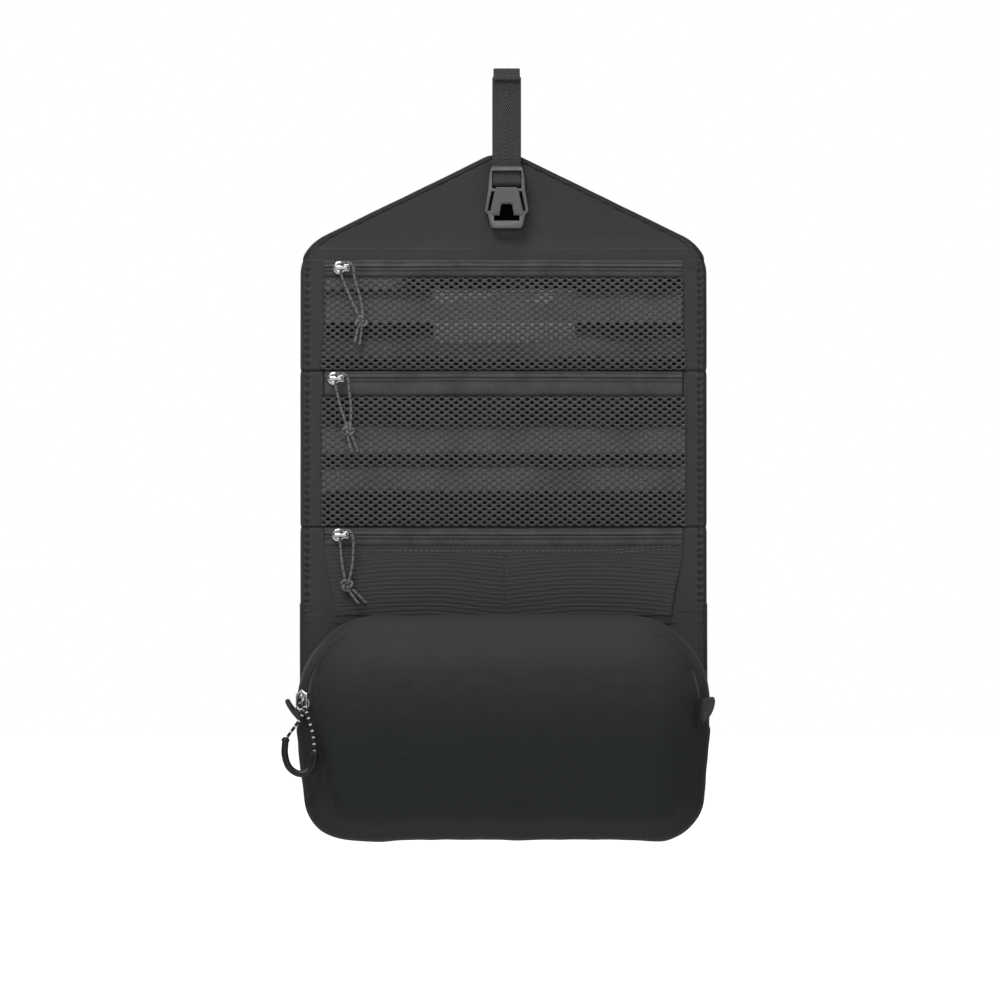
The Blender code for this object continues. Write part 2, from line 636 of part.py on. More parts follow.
def pull_route(section):
    """The doubled cord from the knot up behind the slider's bridge, over it and back down."""
    knot = Vector(KNOTS[section]["offset"])
    left = Vector((-0.9, 0, KNOT_RADIUS + 0.4)) + knot
    right = Vector((1.5, -0.4, KNOT_RADIUS + 0.4)) + knot
    r = CORD_ROUND_BAR
    return [
        left,
        left.lerp(Vector((0, r, -5)), 0.5) + Vector((-0.6, 0.0, 0)),
        Vector((0, r, -5)),
        Vector((0, r, -1.5)),
        Vector((0.0, r, 0.9)),
        Vector((0.3, r * 0.4, 2.6)),
        Vector((1.2, -r * 0.8, 3.1)),
        Vector((3.2, -r * 1.1, 3.3)),
        Vector((6.6, -r * 1.1, 2.7)),
        Vector((8.8, -r * 0.8, -1.0)),
        Vector((9.4, -r * 0.3, -7.0)),
        right.lerp(Vector((9.4, 0, -7)), 0.45) + Vector((1.0, 0, 0)),
        right,
    ]


def build_cord_pull(b, section, bar):
    body = section + "_pull"
    route = [bar + p for p in pull_route(section)]
    b.tube(section + "_pull_cord", smooth_route(route, 1.6), PULL_CORD_RADIUS, body, "pull_cord_grey")

    knot = bar + Vector(KNOTS[section]["offset"])
    tail = Vector(KNOTS[section]["tail"])
    mesh = bpy.data.meshes.new(section + "_pull_knot")
    bm = bmesh.new()
    bmesh.ops.create_uvsphere(bm, u_segments=10, v_segments=6, radius=KNOT_RADIUS)
    bm.to_mesh(mesh)
    bm.free()
    mesh.transform(Matrix.Translation(knot) @ Matrix.Scale(1.25, 4, (1, 0, 0)))
    body_knot = b.add(section + "_pull_knot", mesh, body, "pull_cord_grey", smooth=True)
    for side, share in ((-1.3, 1.0), (1.3, 0.94)):
        direction = (tail * share)
        turn = direction.to_track_quat("Z", "Y").to_matrix().to_4x4()
        shift = Vector((side * -direction.z, 0, side * direction.x)) / direction.length
        middle = knot + shift + direction / 2
        strand = bpy.data.meshes.new("strand")
        bm = bmesh.new()
        bmesh.ops.create_cone(
            bm, cap_ends=True, segments=8, radius1=PULL_CORD_RADIUS, radius2=PULL_CORD_RADIUS,
            depth=direction.length,
        )
        bm.to_mesh(strand)
        bm.free()
        strand.transform(Matrix.Translation(middle) @ turn)
        b.combine(body_knot, b.add(f"{section}_tail_{share}", strand, body, None), "UNION")


# ---- the pouch --------------------------------------------------------------------------------
def pouch_path(inset, above=None, below=None):
    """The pouch's outline above one height or below one, as an open path from left to right."""
    radius = POUCH_CORNER - inset
    cut = below if above is None else above
    first = math.asin(max(0.0, cut - CORNER_CENTRE.z) / radius)
    last, steps = (math.pi / 2, 12) if below is None else (0.0, 2)
    corner = []
    for k in range(steps + 1):
        angle = first + (last - first) * k / steps
        right = radius * math.cos(angle) - CORNER_CENTRE.x
        corner.append(Vector((right, CORNER_CENTRE.z + radius * math.sin(angle))))
    flipped = [Vector((-p.x, p.y)) for p in corner]
    if below is None:
        if cut < CORNER_CENTRE.z:
            corner.insert(0, Vector((corner[0].x, cut)))
            flipped.insert(0, Vector((flipped[0].x, cut)))
        return flipped + list(reversed(corner))
    bottom = clipped(pouch_outline(inset), BOTTOM_Z - 50, CORNER_CENTRE.z - 1)
    return flipped + list(reversed(bottom)) + list(reversed(corner))


def wall(profile, **cut):
    """Sections for a strip of the pouch's side wall that follows a profile of (depth, inset)."""
    return [
        ((depth, pouch_path(inset, **cut)), (depth, pouch_path(inset + POUCH_WALL, **cut)))
        for depth, inset in profile
    ]


def coil_on_zip():
    """Sections for the main zip's coil, which lies flat on the slanting rear tape."""
    return [
        tuple(
            (depth - proud * math.sin(ZIP_SLANT),
             pouch_path(inset - proud * math.cos(ZIP_SLANT), above=MAIN_COIL_LOW_Z))
            for proud in (MAIN_COIL_PROUD, GAP)
        )
        for depth, inset in REAR_TAPE
    ]


def build_pouch(b):
    """The pouch's walls. What lies above the hood's hinge and in front of the coil is the hood."""
    above = {"above": HOOD_HINGE_Z + 0.4}
    below = {"below": HOOD_HINGE_Z - 0.4}
    b.band("pouch_gusset_rear", wall(REAR_GUSSET, **above), "pouch", "shell_fabric")
    b.band("main_zip_tape_rear", wall(REAR_TAPE, **above), "pouch", "zip_tape")
    b.band("main_zip_coil", coil_on_zip(), "pouch", "zip_coil")
    b.band("main_zip_tape_front", wall(FRONT_TAPE, **above), "hood", "zip_tape")
    b.band("pouch_gusset_front", wall(FRONT_GUSSET, **above), "hood", "shell_fabric")
    whole = REAR_GUSSET + [REAR_TAPE[1]] + FRONT_GUSSET
    b.band("pouch_gusset_lower", wall(whole, **below), "pouch", "shell_fabric")
    b.cup("pouch_front_upper", above, "hood", "shell_fabric")
    b.cup("pouch_front_lower", below, "pouch", "shell_fabric")


def build_grab_tabs(b):
    """A tab of two plies at each end of the main zip, folded at its tip, to hold the pouch by."""
    left = {"ply": [(-142.4, -437.2), (-142.4, -443.0), (-149.2, -434.2), (-151.2, -428.8), (-148.6, -428.0)],
            "fold": [(-149.2, -434.2), (-151.2, -428.8), (-148.6, -428.0), (-147.6, -431.2)]}
    right = {"ply": [(133.0, -428.0), (145.4, -426.6), (146.6, -430.0), (144.6, -437.0), (139.8, -444.0),
                     (133.0, -447.6)],
             "fold": [(144.2, -426.8), (145.4, -426.6), (146.6, -430.0), (144.6, -437.0), (143.4, -438.6)]}
    for name, shape, front in (("left", left, -38.6), ("right", right, -43.6)):
        ply = [Vector(p) for p in shape["ply"]]
        fold = [Vector(p) for p in shape["fold"]]
        back = front + 2 * FABRIC + GAP
        tab = b.plate(f"grab_tab_{name}", ply, front, front + FABRIC, "pouch", "shell_fabric")
        b.combine(tab, b.plate("rear_ply", ply, back - FABRIC, back, "pouch", None), "UNION")
        b.combine(tab, b.plate("folded_tip", fold, front, back, "pouch", None), "UNION")


def build_main_zip_pull(b):
    """The slider on the left end of the main zip, with its cord and moulded grip."""
    along = Vector((0, 0, 1))
    outward = Vector((-math.cos(ZIP_SLANT), -math.sin(ZIP_SLANT), 0))
    turn = Matrix((along, -outward, along.cross(-outward))).transposed().to_4x4()
    build_slider(b, "main", "main_slider", Matrix.Translation(MAIN_BAR) @ turn)

    left = [MAIN_BAR + Vector(p) for p in ((0.6, -2.6, -8.0), (-0.6, -3.6, -11.5),
                                           (-6.5, -5.6, -20.0), (-12.8, -6.8, -29.0))]
    right = [MAIN_BAR + Vector(p) for p in ((2.6, -1.6, -6.0), (4.0, -5.0, -14.0),
                                            (6.4, -7.6, -26.0), (7.6, -8.6, -38.0))]
    route = list(reversed(left)) + right
    b.tube("main_pull_cord", smooth_route(route, 2.2), MAIN_CORD_RADIUS, "main_pull", "pull_cord_black")
    low = [MAIN_BAR + Vector(p) for p in (
        (-12.9, -6.9, -29.6), (-13.2, -7.6, -39.0), (-10.6, -8.4, -47.2), (-5.0, -8.8, -51.8),
        (1.2, -8.9, -52.0), (6.0, -8.8, -47.6), (7.6, -8.6, -40.0))]
    b.tube("main_pull_grip", smooth_route(low, 2.8), GRIP_RADIUS, "main_pull", "grip_rubber")


def main():
    clear_scene()
    builder = Builder()
    build_strap(builder)
    build_socket(builder)
    build_panel(builder)
    for section in ("upper", "middle", "lower"):
        build_pocket(builder, section)
    build_pouch(builder)
    build_grab_tabs(builder)
    build_main_zip_pull(builder)
    build_plug(builder)


main()
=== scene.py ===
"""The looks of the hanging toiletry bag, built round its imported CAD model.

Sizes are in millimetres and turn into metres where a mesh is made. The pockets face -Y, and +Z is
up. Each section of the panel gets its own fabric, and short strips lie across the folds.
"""

import math

import bmesh
import bpy
from mathutils import Matrix, Vector, noise


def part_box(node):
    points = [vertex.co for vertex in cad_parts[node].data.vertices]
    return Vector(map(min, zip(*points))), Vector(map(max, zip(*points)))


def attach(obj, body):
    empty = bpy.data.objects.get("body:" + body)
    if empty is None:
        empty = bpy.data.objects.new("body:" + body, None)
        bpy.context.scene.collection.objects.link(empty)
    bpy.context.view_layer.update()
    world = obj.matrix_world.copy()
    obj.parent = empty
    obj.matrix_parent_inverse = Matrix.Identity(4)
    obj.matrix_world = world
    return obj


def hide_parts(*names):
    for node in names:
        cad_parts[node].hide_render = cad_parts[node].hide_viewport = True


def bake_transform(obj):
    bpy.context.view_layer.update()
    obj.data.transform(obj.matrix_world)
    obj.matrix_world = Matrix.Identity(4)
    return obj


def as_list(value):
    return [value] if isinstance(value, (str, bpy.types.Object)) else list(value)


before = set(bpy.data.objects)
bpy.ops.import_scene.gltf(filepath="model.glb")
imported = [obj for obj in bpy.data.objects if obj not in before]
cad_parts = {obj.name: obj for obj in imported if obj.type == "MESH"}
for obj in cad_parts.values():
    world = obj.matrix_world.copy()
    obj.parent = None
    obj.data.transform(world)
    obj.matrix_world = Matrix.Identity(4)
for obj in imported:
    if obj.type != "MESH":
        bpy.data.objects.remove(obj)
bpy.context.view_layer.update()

MM = 0.001
SECTIONS = ("upper", "middle", "lower")


def node_box(node):
    """A CAD node's lowest and highest corners, in millimetres."""
    return [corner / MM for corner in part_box(node)]


# ---- sizes taken from the frame ----------------------------------------------------------------
PANEL_HIGH = node_box("middle_shell")[1]
PANEL_HALF = PANEL_HIGH.x
PANEL_BACK = PANEL_HIGH.y
LINING_FRONT = node_box("middle_lining")[0].y
BORDER_FRONT = node_box("middle_border_left")[0].y
MESH_FRONT = node_box("middle_pocket_mesh")[0].y
INNER_HALF = node_box("middle_pocket_mesh")[1].x
FOLD_Z = {s: node_box(s + "_shell")[1].z + 0.3 for s in SECTIONS + ("pouch",)}
ZIP_Z = {s: sum(c.z for c in node_box(s + "_zip_coil")) / 2 for s in SECTIONS}
SLIDER_CENTRE = {s: sum(node_box(s + "_zip_slider"), Vector()) / 2 for s in SECTIONS}
BOTTOM_Z = node_box("pouch_shell")[0].z
FLAP_TOP = node_box("flap_shell")[1].z

# ---- sizes that the look adds --------------------------------------------------------------------
FLAP_SLOPE = 0.487
CORNER_RADIUS = 30.0
THREAD = 0.28
SEAM_PITCH, SEAM_STITCH = 3.0, 2.2
BORDER_SEAM, BACK_SEAM = 3.9, 4.5  # how far in from the edge the seams run
FOLD_GAP = 0.35  # between a section's fabric and the middle of a fold
FINE = 0.7  # between the rows of points of a finely modelled fabric
WELD = 0.02 * MM  # points closer than this, in metres, become one


# ---- materials -----------------------------------------------------------------------------------
WARM = (1.03, 0.985, 0.99)  # the slightly red grey of the mesh, its lining and the zips' tapes
# painted shade: between these heights the pouch's colour turns darker and bluer towards the bottom
PAINTED_SHADE_HEIGHTS = (-385, -462)  # the heights between which the pouch's colour turns darker and bluer


def srgb(level, tint=(1.0, 1.0, 1.0)):
    """A grey of that sRGB level, 0 to 255, as a linear colour with a slight tint."""
    c = level / 255
    linear = c / 12.92 if c <= 0.04045 else ((c + 0.055) / 1.055) ** 2.4
    return tuple(linear * t for t in tint) + (1.0,)


class Look:
    """A Principled material with short ways to add its nodes."""

    def __init__(self, name, colour, roughness, metallic=0.0, sheen=0.0):
        self.material = bpy.data.materials.new(name)
        self.material.use_nodes = True
        self.tree = self.material.node_tree
        self.shader = self.tree.nodes["Principled BSDF"]
        self.colour = colour
        for key, value in (("Base Color", colour), ("Roughness", roughness), ("Metallic", metallic),
                           ("Sheen Weight", sheen), ("Sheen Roughness", 0.45)):
            self.shader.inputs[key].default_value = value
        place = self.node("TexCoord").outputs["Object"]
        self.place = self.node("VectorMath", {0: place, "Scale": 1 / MM}, operation="SCALE").outputs[0]
        self.x, self.y, self.z = self.node("SeparateXYZ", {0: self.place}).outputs

    def put(self, socket, value):
        if isinstance(value, bpy.types.NodeSocket):
            self.tree.links.new(value, socket)
        else:
            socket.default_value = value

    def node(self, kind, inputs=None, **settings):
        """Adds a node, sets it up, and puts a number, a colour or a socket on each named input."""
        node = self.tree.nodes.new("ShaderNode" + kind)
        for name, value in settings.items():
            setattr(node, name, value)
        for key, value in (inputs or {}).items():
            self.put(node.inputs[key], value)
        return node

    def math(self, operation, a, b=0.0):
        return self.node("Math", {0: a, 1: b}, operation=operation).outputs[0]

    def times(self, a, b):
        return self.math("MULTIPLY", a, b)

    def add(self, *values):
        total = values[0]
        for value in values[1:]:
            total = self.math("ADD", total, value)
        return total

    def weigh(self, *pairs):
        """The sum of values, each times its share."""
        return self.add(*[self.times(value, share) for value, share in pairs])

    def noise(self, size, detail=2.0, rough=0.5):
        """Soft noise from 0 to 1, with features about that many millimetres wide."""
        values = {"Vector": self.place, "Scale": 1 / size, "Detail": detail, "Roughness": rough}
        return self.node("TexNoise", values).outputs[0]

    def smooth(self, value, low, high):
        """1 where value is at high, 0 at low, soft between them."""
        values = {"Value": value, "From Min": low, "From Max": high}
        return self.node("MapRange", values, interpolation_type="SMOOTHSTEP").outputs[0]

    def stripes(self, along, pitch, width):
        """1 on lines that width wide and pitch apart, else 0, with soft edges."""
        return self.smooth(self.math("PINGPONG", along, pitch / 2), width, width * 0.3)

    def wave(self, along, pitch):
        """A sine from -1 to 1 along a coordinate in millimetres."""
        return self.math("SINE", self.times(along, 2 * math.pi / pitch))

    def attribute(self, name):
        """A number that the mesh holds at each point."""
        return self.node("Attribute", attribute_name=name).outputs["Fac"]

    def mix(self, amount, low, high):
        """Makes the base colour low where amount is 0 and high where it is 1."""
        mixed = self.node("Mix", {0: amount, 6: low, 7: high}, data_type="RGBA").outputs[2]
        self.put(self.shader.inputs["Base Color"], mixed)

    def shade(self, amount, low, high):
        """Multiplies the base colour by low where amount is 0 and by high where it is 1."""
        base = self.shader.inputs["Base Color"]
        if base.is_linked:
            factor = self.add(low, self.times(amount, high - low))
            values = {0: base.links[0].from_socket, "Scale": factor}
            self.put(base, self.node("VectorMath", values, operation="SCALE").outputs[0])
        else:
            self.mix(amount, *[tuple(c * level for c in self.colour[:3]) + (1.0,) for level in (low, high)])

    def paint(self, amount, colour):
        """Lays another colour over the base, as far as amount says."""
        base = self.shader.inputs["Base Color"]
        self.mix(amount, base.links[0].from_socket if base.is_linked else self.colour, colour)

    def roughness(self, amount, low, high):
        values = {"Value": amount, "To Min": low, "To Max": high}
        self.put(self.shader.inputs["Roughness"], self.node("MapRange", values).outputs[0])

    def bump(self, height, depth):
        """Height is about 0 to 1, and depth is what 1 stands for in millimetres."""
        values = {"Strength": 1.0, "Distance": depth * MM, "Height": height}
        self.put(self.shader.inputs["Normal"], self.node("Bump", values).outputs[0])


def ripstop(name, level, strength, grid=4.2, low=None):
    """A fine plain weave with a raised grid of thicker threads. low, if given, is a darker, bluer colour
    painted towards the bottom as shade.
    """
    look = Look(name, srgb(level), 0.78, sheen=0.05)
    # painted shade: the colour turns darker and bluer towards the bottom
    if low:
        look.paint(look.smooth(look.z, *PAINTED_SHADE_HEIGHTS), low)
    grids = look.add(*[look.stripes(axis, grid, 0.42) for axis in (look.x, look.z)])
    weave = look.times(look.wave(look.x, 0.62), look.wave(look.z, 0.62))
    uneven = look.noise(0.9, 3)
    cloudy = look.noise(38, 2)
    patchy = look.smooth(look.noise(13, 2), 0.42, 0.62)
    grids = look.times(grids, look.add(0.3, look.times(patchy, 0.9)))
    look.shade(look.weigh((cloudy, 0.7), (uneven, 0.3)), 0.86, 1.14)
    look.paint(look.times(grids, 0.16 * strength), srgb(level + 26))
    height = look.weigh((grids, 0.5), (weave, 0.22), (uneven, 0.35))
    # painted shade: the 'edge' attribute darkens turned edges, seam grooves, creases and the gap under a tab
    look.paint(look.times(look.attribute("edge"), 0.97), srgb(6))
    look.roughness(uneven, 0.66, 0.9)
    look.bump(height, 0.10 * strength)
    return look.material


def plain_weave(name, level, tint=(1, 1, 1), pitch=0.7, mottled=0.22):
    """A matt plain weave with uneven threads."""
    look = Look(name, srgb(level, tint), 0.85, sheen=0.12)
    weave = look.times(look.wave(look.x, pitch), look.wave(look.z, pitch))
    uneven = look.noise(1.1, 4, 0.6)
    cloudy = look.noise(26, 2)
    look.shade(look.weigh((uneven, 0.55), (cloudy, 0.45)), 1 - mottled, 1 + mottled)
    # painted shade: the 'edge' attribute darkens turned edges and the grooves beside seams
    look.paint(look.times(look.attribute("edge"), 0.85), srgb(20))
    look.roughness(uneven, 0.75, 0.95)
    look.bump(look.weigh((weave, 0.4), (uneven, 0.6)), 0.12)
    return look.material


def knit(name, level):
    """The twisted yarns that a mesh or a tape is knitted from."""
    look = Look(name, srgb(level, WARM), 0.88, sheen=0.2)
    rising, falling = look.add(look.x, look.z), look.math("SUBTRACT", look.x, look.z)
    loops = look.times(look.wave(rising, 0.9), look.wave(falling, 0.9))
    uneven = look.noise(0.8, 3, 0.6)
    look.shade(look.weigh((uneven, 0.7), (look.noise(18), 0.3)), 0.72, 1.3)
    look.bump(look.weigh((loops, 0.5), (uneven, 0.6)), 0.16)
    return look.material


def rib_knit(name, level):
    """Fine cross ribs under the folds that the geometry holds."""
    look = Look(name, srgb(level), 0.86, sheen=0.12)
    ribs = look.wave(look.z, 1.05)
    uneven = look.noise(1.4, 3)
    look.shade(look.weigh((ribs, 0.28), (uneven, 0.8)), 0.76, 1.22)
    look.bump(look.weigh((ribs, 0.5), (uneven, 0.4)), 0.14)
    return look.material


def herringbone(name, level):
    """Twill that turns at the webbing's middle, so that its lines make Vs."""
    look = Look(name, srgb(level), 0.78, sheen=0.15)
    run, off = look.attribute("run"), look.attribute("off")
    twill = look.smooth(look.wave(look.add(run, look.times(off, 2.1)), 2.7), -0.1, 0.8)
    picks = look.smooth(look.wave(run, 0.9), -0.8, 0.6)
    uneven = look.noise(0.6, 3)
    lines = look.times(twill, look.add(0.86, look.times(picks, 0.14)))
    look.shade(uneven, 0.42, 0.5)
    look.paint(look.times(lines, 0.95), srgb(level + 56))
    look.bump(look.add(lines, look.times(uneven, 0.08)), 0.12)
    return look.material


def plastic(name, level):
    """Moulded plastic with a fine spark-eroded grain, and a painted highlight in patches on its sharp edges.
    """
    look = Look(name, srgb(level), 0.42)
    grain = look.noise(0.35, 3)
    wear_and_highlight = look.noise(5.0, 4, 0.65)
    edge = look.node("NewGeometry").outputs["Pointiness"]
    edge_highlight = look.times(look.smooth(edge, 0.53, 0.62), look.smooth(wear_and_highlight, 0.2, 0.6))
    look.shade(look.noise(9.0, 2), 0.96, 1.04)
    # painted highlight: the sharp edges are painted paler, in patches
    look.paint(look.times(edge_highlight, 0.4), srgb(level + 60))
    look.roughness(wear_and_highlight, 0.34, 0.54)
    look.bump(grain, 0.03)
    return look.material


def shaded_plastic(name):
    """The inside of a moulding, which hardly any light reaches."""
    look = Look(name, srgb(6), 1.0)
    look.shader.inputs["Specular IOR Level"].default_value = 0.05
    look.shade(look.noise(3.0, 3), 0.6, 1.4)
    return look.material


def metal(name):
    """Polished plating with faint scratches."""
    look = Look(name, (0.93, 0.93, 0.94, 1.0), 0.16, metallic=1.0)
    smear = look.noise(2.5, 4, 0.6)
    look.shade(smear, 0.9, 1.06)
    look.roughness(smear, 0.1, 0.28)
    look.bump(look.noise(0.5, 2), 0.012)
    return look.material


def braid(name, level, fleck, pitch, share, line, offset, spread):
    """A braided cord. Flecks sit on its length, which the attribute 'along' holds in millimetres."""
    look = Look(name, srgb(level), 0.8, sheen=0.1)
    along, around = look.attribute("along"), look.attribute("around")
    one = look.wave(look.add(along, look.times(around, line)), line)
    two = look.wave(look.math("SUBTRACT", along, look.times(around, line)), line)
    strands = look.math("MAXIMUM", one, two)
    uneven = look.noise(0.5, 3)
    look.shade(look.weigh((strands, 0.4), (uneven, 0.5)), 0.7, 1.25)
    moved = look.times(look.smooth(around, 0.45, 0.55), pitch * offset)
    spot = look.math("PINGPONG", look.add(along, moved), pitch / 2)
    lap = look.math("PINGPONG", look.times(around, 2.0), 1.0)
    sides = look.math("ABSOLUTE", look.math("SUBTRACT", lap, 0.5))
    fleck_mask = look.smooth(spot, share * pitch / 2 * 1.2, share * pitch / 2 * 0.7)
    fleck_mask = look.times(fleck_mask, look.smooth(sides, spread, spread * 0.6))
    look.paint(fleck_mask, srgb(fleck))
    look.bump(look.weigh((strands, 0.6), (uneven, 0.4)), 0.16)
    return look.material


def rubber(name, level):
    look = Look(name, srgb(level), 0.34)
    fine = look.noise(0.7, 3)
    look.shade(look.noise(6.0, 3), 0.75, 1.3)
    look.roughness(fine, 0.26, 0.5)
    look.bump(fine, 0.03)
    return look.material


def pocket_cloth(name, level, deep):
    """The lining seen through a mesh, in deep shade where it hangs away from the mesh."""
    look = Look(name, srgb(level, WARM), 0.9, sheen=0.1)
    uneven = look.noise(0.9, 4, 0.6)
    look.shade(uneven, 0.6, 1.4)
    look.paint(look.times(look.attribute("away"), 0.97), srgb(deep))
    look.bump(uneven, 0.14)
    return look.material


def banded_tape(name, level):
    """A knitted zip tape, with the fine cross ribs that show beside the coil."""
    look = Look(name, srgb(level, WARM), 0.9, sheen=0.15)
    ribs = look.wave(look.x, 1.35)
    speckle = look.noise(0.55, 4, 0.7)
    cloudy = look.noise(14, 2)
    mixed = look.weigh((speckle, 0.75), (ribs, 0.03), (cloudy, 0.4))
    look.shade(look.smooth(mixed, 0.25, 0.8), 0.55, 1.5)
    look.bump(look.weigh((speckle, 0.8), (ribs, 0.25)), 0.2)
    return look.material


LOOKS = {
    "shell": ripstop("shell_ripstop", 60, 0.6),
    "flap": ripstop("flap_ripstop", 58, 0.4),
    "pouch": ripstop("pouch_ripstop", 49, 0.4, grid=2.9, low=srgb(28, (0.78, 1.08, 1.16))),
    "lining": plain_weave("lining_weave", 58),
    "pocket_lining": pocket_cloth("pocket_lining_weave", 102, 6),
    "border": plain_weave("border_weave", 65, pitch=0.6, mottled=0.12),
    "mesh": knit("mesh_yarn", 89),
    "tape": banded_tape("zip_tape_yarn", 77),
    "rib": rib_knit("ribbed_knit", 69),
    "webbing": herringbone("strap_herringbone", 44),
    "buckle": plastic("buckle_plastic", 105),
    # painted shade: a near-black sheet for the unlit inside of the buckle
    "dark_plastic": shaded_plastic("buckle_shade_plastic"),
    "metal": metal("slider_plating"),
    "cord": braid("pull_cord_braid", 130, 18, 5.2, 0.2, 1.5, 0.5, 0.4),
    "flecked": braid("flecked_cord_braid", 26, 235, 4.6, 0.24, 1.3, 0.0, 0.9),
    "grip": rubber("grip_rubber_skin", 24),
    "label": plain_weave("label_weave", 138, (1.02, 0.985, 1.0), pitch=0.5, mottled=0.08),
    "thread": plain_weave("stitch_thread", 52, pitch=0.3),
    "pale_thread": plain_weave("pale_stitch_thread", 112, pitch=0.3),
}


# ---- mesh making ---------------------------------------------------------------------------------
def link(name, data):
    """A new object in the scene."""
    item = bpy.data.objects.new(name, data)
    bpy.context.scene.collection.objects.link(item)
    return item


def make(name, points, faces, looks, indices=None, smooth=True):
    """A piece from points in millimetres. looks names its material, or lists several."""
    mesh = bpy.data.meshes.new(name)
    mesh.from_pydata([tuple(c * MM for c in p) for p in points], [], faces)
    for look in looks if isinstance(looks, (list, tuple)) else [looks]:
        mesh.materials.append(LOOKS[look])
    if indices:
        mesh.polygons.foreach_set("material_index", indices)
    if smooth:
        mesh.shade_smooth()
    mesh.update()
    return link(name, mesh)


def finish_piece(piece, body, slot, *nodes):
    """Rides on a body, if one is named, and stands for CAD nodes, which it hides. slot is not used."""
    if body:
        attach(piece, body)
    if nodes:
        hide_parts(*nodes)
    return piece


def slab(name, rows, cols, front, thickness, looks, rim=0.45):
    """A closed sheet over a grid. front(v, u) gives a point of its front face in millimetres, and
    the edge bulges outwards by rim times the thickness. looks name the front and the back."""
    thick = thickness if callable(thickness) else (lambda v, u: thickness)
    us = [j / cols for j in range(cols + 1)]
    vs = [i / rows for i in range(rows + 1)]
    face = [Vector(front(v, u)) for v in vs for u in us]
    depths = [thick(v, u) for v in vs for u in us]
    back = [p + Vector((0, depth, 0)) for p, depth in zip(face, depths)]
    width = cols + 1
    count = len(face)
    faces, indices = [], []
    for i in range(rows):
        for j in range(cols):
            a = i * width + j
            faces.append((a, a + width, a + width + 1, a + 1))
            indices.append(0)
            faces.append((count + a, count + a + 1, count + a + width + 1, count + a + width))
            indices.append(1)
    loop = list(range(cols)) + [i * width + cols for i in range(rows)]
    loop += [rows * width + cols - j for j in range(cols)] + [(rows - i) * width for i in range(rows)]
    edge = []
    for k, a in enumerate(loop):
        ahead = face[loop[(k + 1) % len(loop)]] - face[loop[k - 1]]
        outward = Vector((-ahead.z, 0, ahead.x))
        if outward.length > 1e-9:
            outward.normalize()
        middle = (face[a] + back[a]) / 2
        edge.append(middle + outward * (rim * (back[a] - face[a]).length))
    start = 2 * count
    for k in range(len(loop)):
        n = (k + 1) % len(loop)
        faces.append((loop[n], loop[k], start + k, start + n))
        faces.append((start + n, start + k, count + loop[k], count + loop[n]))
        indices += [0, 1]
    both = looks if isinstance(looks, tuple) else (looks, looks)
    piece = make(name, face + back + edge, faces, both, indices=indices)
    fix_normals(piece)
    return piece


def store(piece, name, values):
    """Keeps a number at each point of a mesh for a material to read."""
    piece.data.attributes.new(name, "FLOAT", "POINT").data.foreach_set("value", values)


def mark(piece, name, value):
    """Stores value(x, z), in millimetres, at each point."""
    store(piece, name, [value(v.co.x / MM, v.co.z / MM) for v in piece.data.vertices])


def reshape(piece, change):
    """Runs change on an editable copy of a piece's mesh and keeps what it leaves."""
    bm = bmesh.new()
    bm.from_mesh(piece.data)
    change(bm)
    bm.to_mesh(piece.data)
    bm.free()


def fix_normals(piece):
    reshape(piece, lambda bm: bmesh.ops.recalc_face_normals(bm, faces=bm.faces))


def apply_modifiers(piece):
    bpy.context.view_layer.update()
    graph = bpy.context.evaluated_depsgraph_get()
    piece.data = bpy.data.meshes.new_from_object(piece.evaluated_get(graph))
    piece.modifiers.clear()


def round_edges(piece, width, angle):
    """Rounds the edges that turn by more than angle, in degrees."""
    bevel = piece.modifiers.new("edges", "BEVEL")
    bevel.width = width * MM
    bevel.segments = 3
    bevel.limit_method = "ANGLE"
    bevel.angle_limit = math.radians(angle)


def ripple(x, z, size, seed=0.0):
    """Smooth noise from about -1 to 1 over the panel."""
    return noise.noise(Vector((x / size, seed, z / size)))


def lerp(a, b, t):
    return a + (b - a) * t


def spaced(a, b, count):
    """Evenly spaced values from a to b, with that many gaps between them."""
    return [lerp(a, b, k / count) for k in range(count + 1)]


def hump(offset, width):
    """1 where offset is 0, falling softly to 0 within about twice the width."""
    return math.exp(-((offset / width) ** 2))


def step(low, high, value):
    """0 up to low, 1 from high on, soft between them."""
    t = min(1.0, max(0.0, (value - low) / (high - low)))
    return t * t * (3 - 2 * t)


def profile(points, value):
    """Reads a list of (place, level), sorted by falling place, with soft steps between."""
    if value >= points[0][0]:
        return points[0][1]
    for (a, first), (b, second) in zip(points, points[1:]):
        if value >= b:
            return lerp(first, second, step(0, 1, (a - value) / (a - b)))
    return points[-1][1]


def catmull(points, steps):
    """A smooth curve through points, with that many stretches between each two."""
    route = [Vector(p) for p in points]
    ends = [2 * route[0] - route[1], *route, 2 * route[-1] - route[-2]]
    fine = []
    for a, b, c, d in zip(ends, ends[1:], ends[2:], ends[3:]):
        for k in range(steps):
            t = k / steps
            fine.append(0.5 * (2 * b + (c - a) * t + (2 * a - 5 * b + 4 * c - d) * t**2
                               + (3 * b - a - 3 * c + d) * t**3))
    return fine + [route[-1]]


def heading(path, i):
    """The way a path runs at its point i."""
    return (path[min(i + 1, len(path) - 1)] - path[max(i - 1, 0)]).normalized()


def run_lengths(path):
    """How far along a path each of its points lies."""
    runs = [0.0]
    for a, b in zip(path, path[1:]):
        runs.append(runs[-1] + (b - a).length)
    return runs


def ring_faces(rows, width, start=0, wrap=True):
    """Quads between rows of points that follow one another, closed into rings if wrapped."""
    faces = []
    for i in range(rows - 1):
        for j in range(width if wrap else width - 1):
            here, after = start + i * width + j, start + i * width + (j + 1) % width
            faces.append((here, after, after + width, here + width))
    return faces


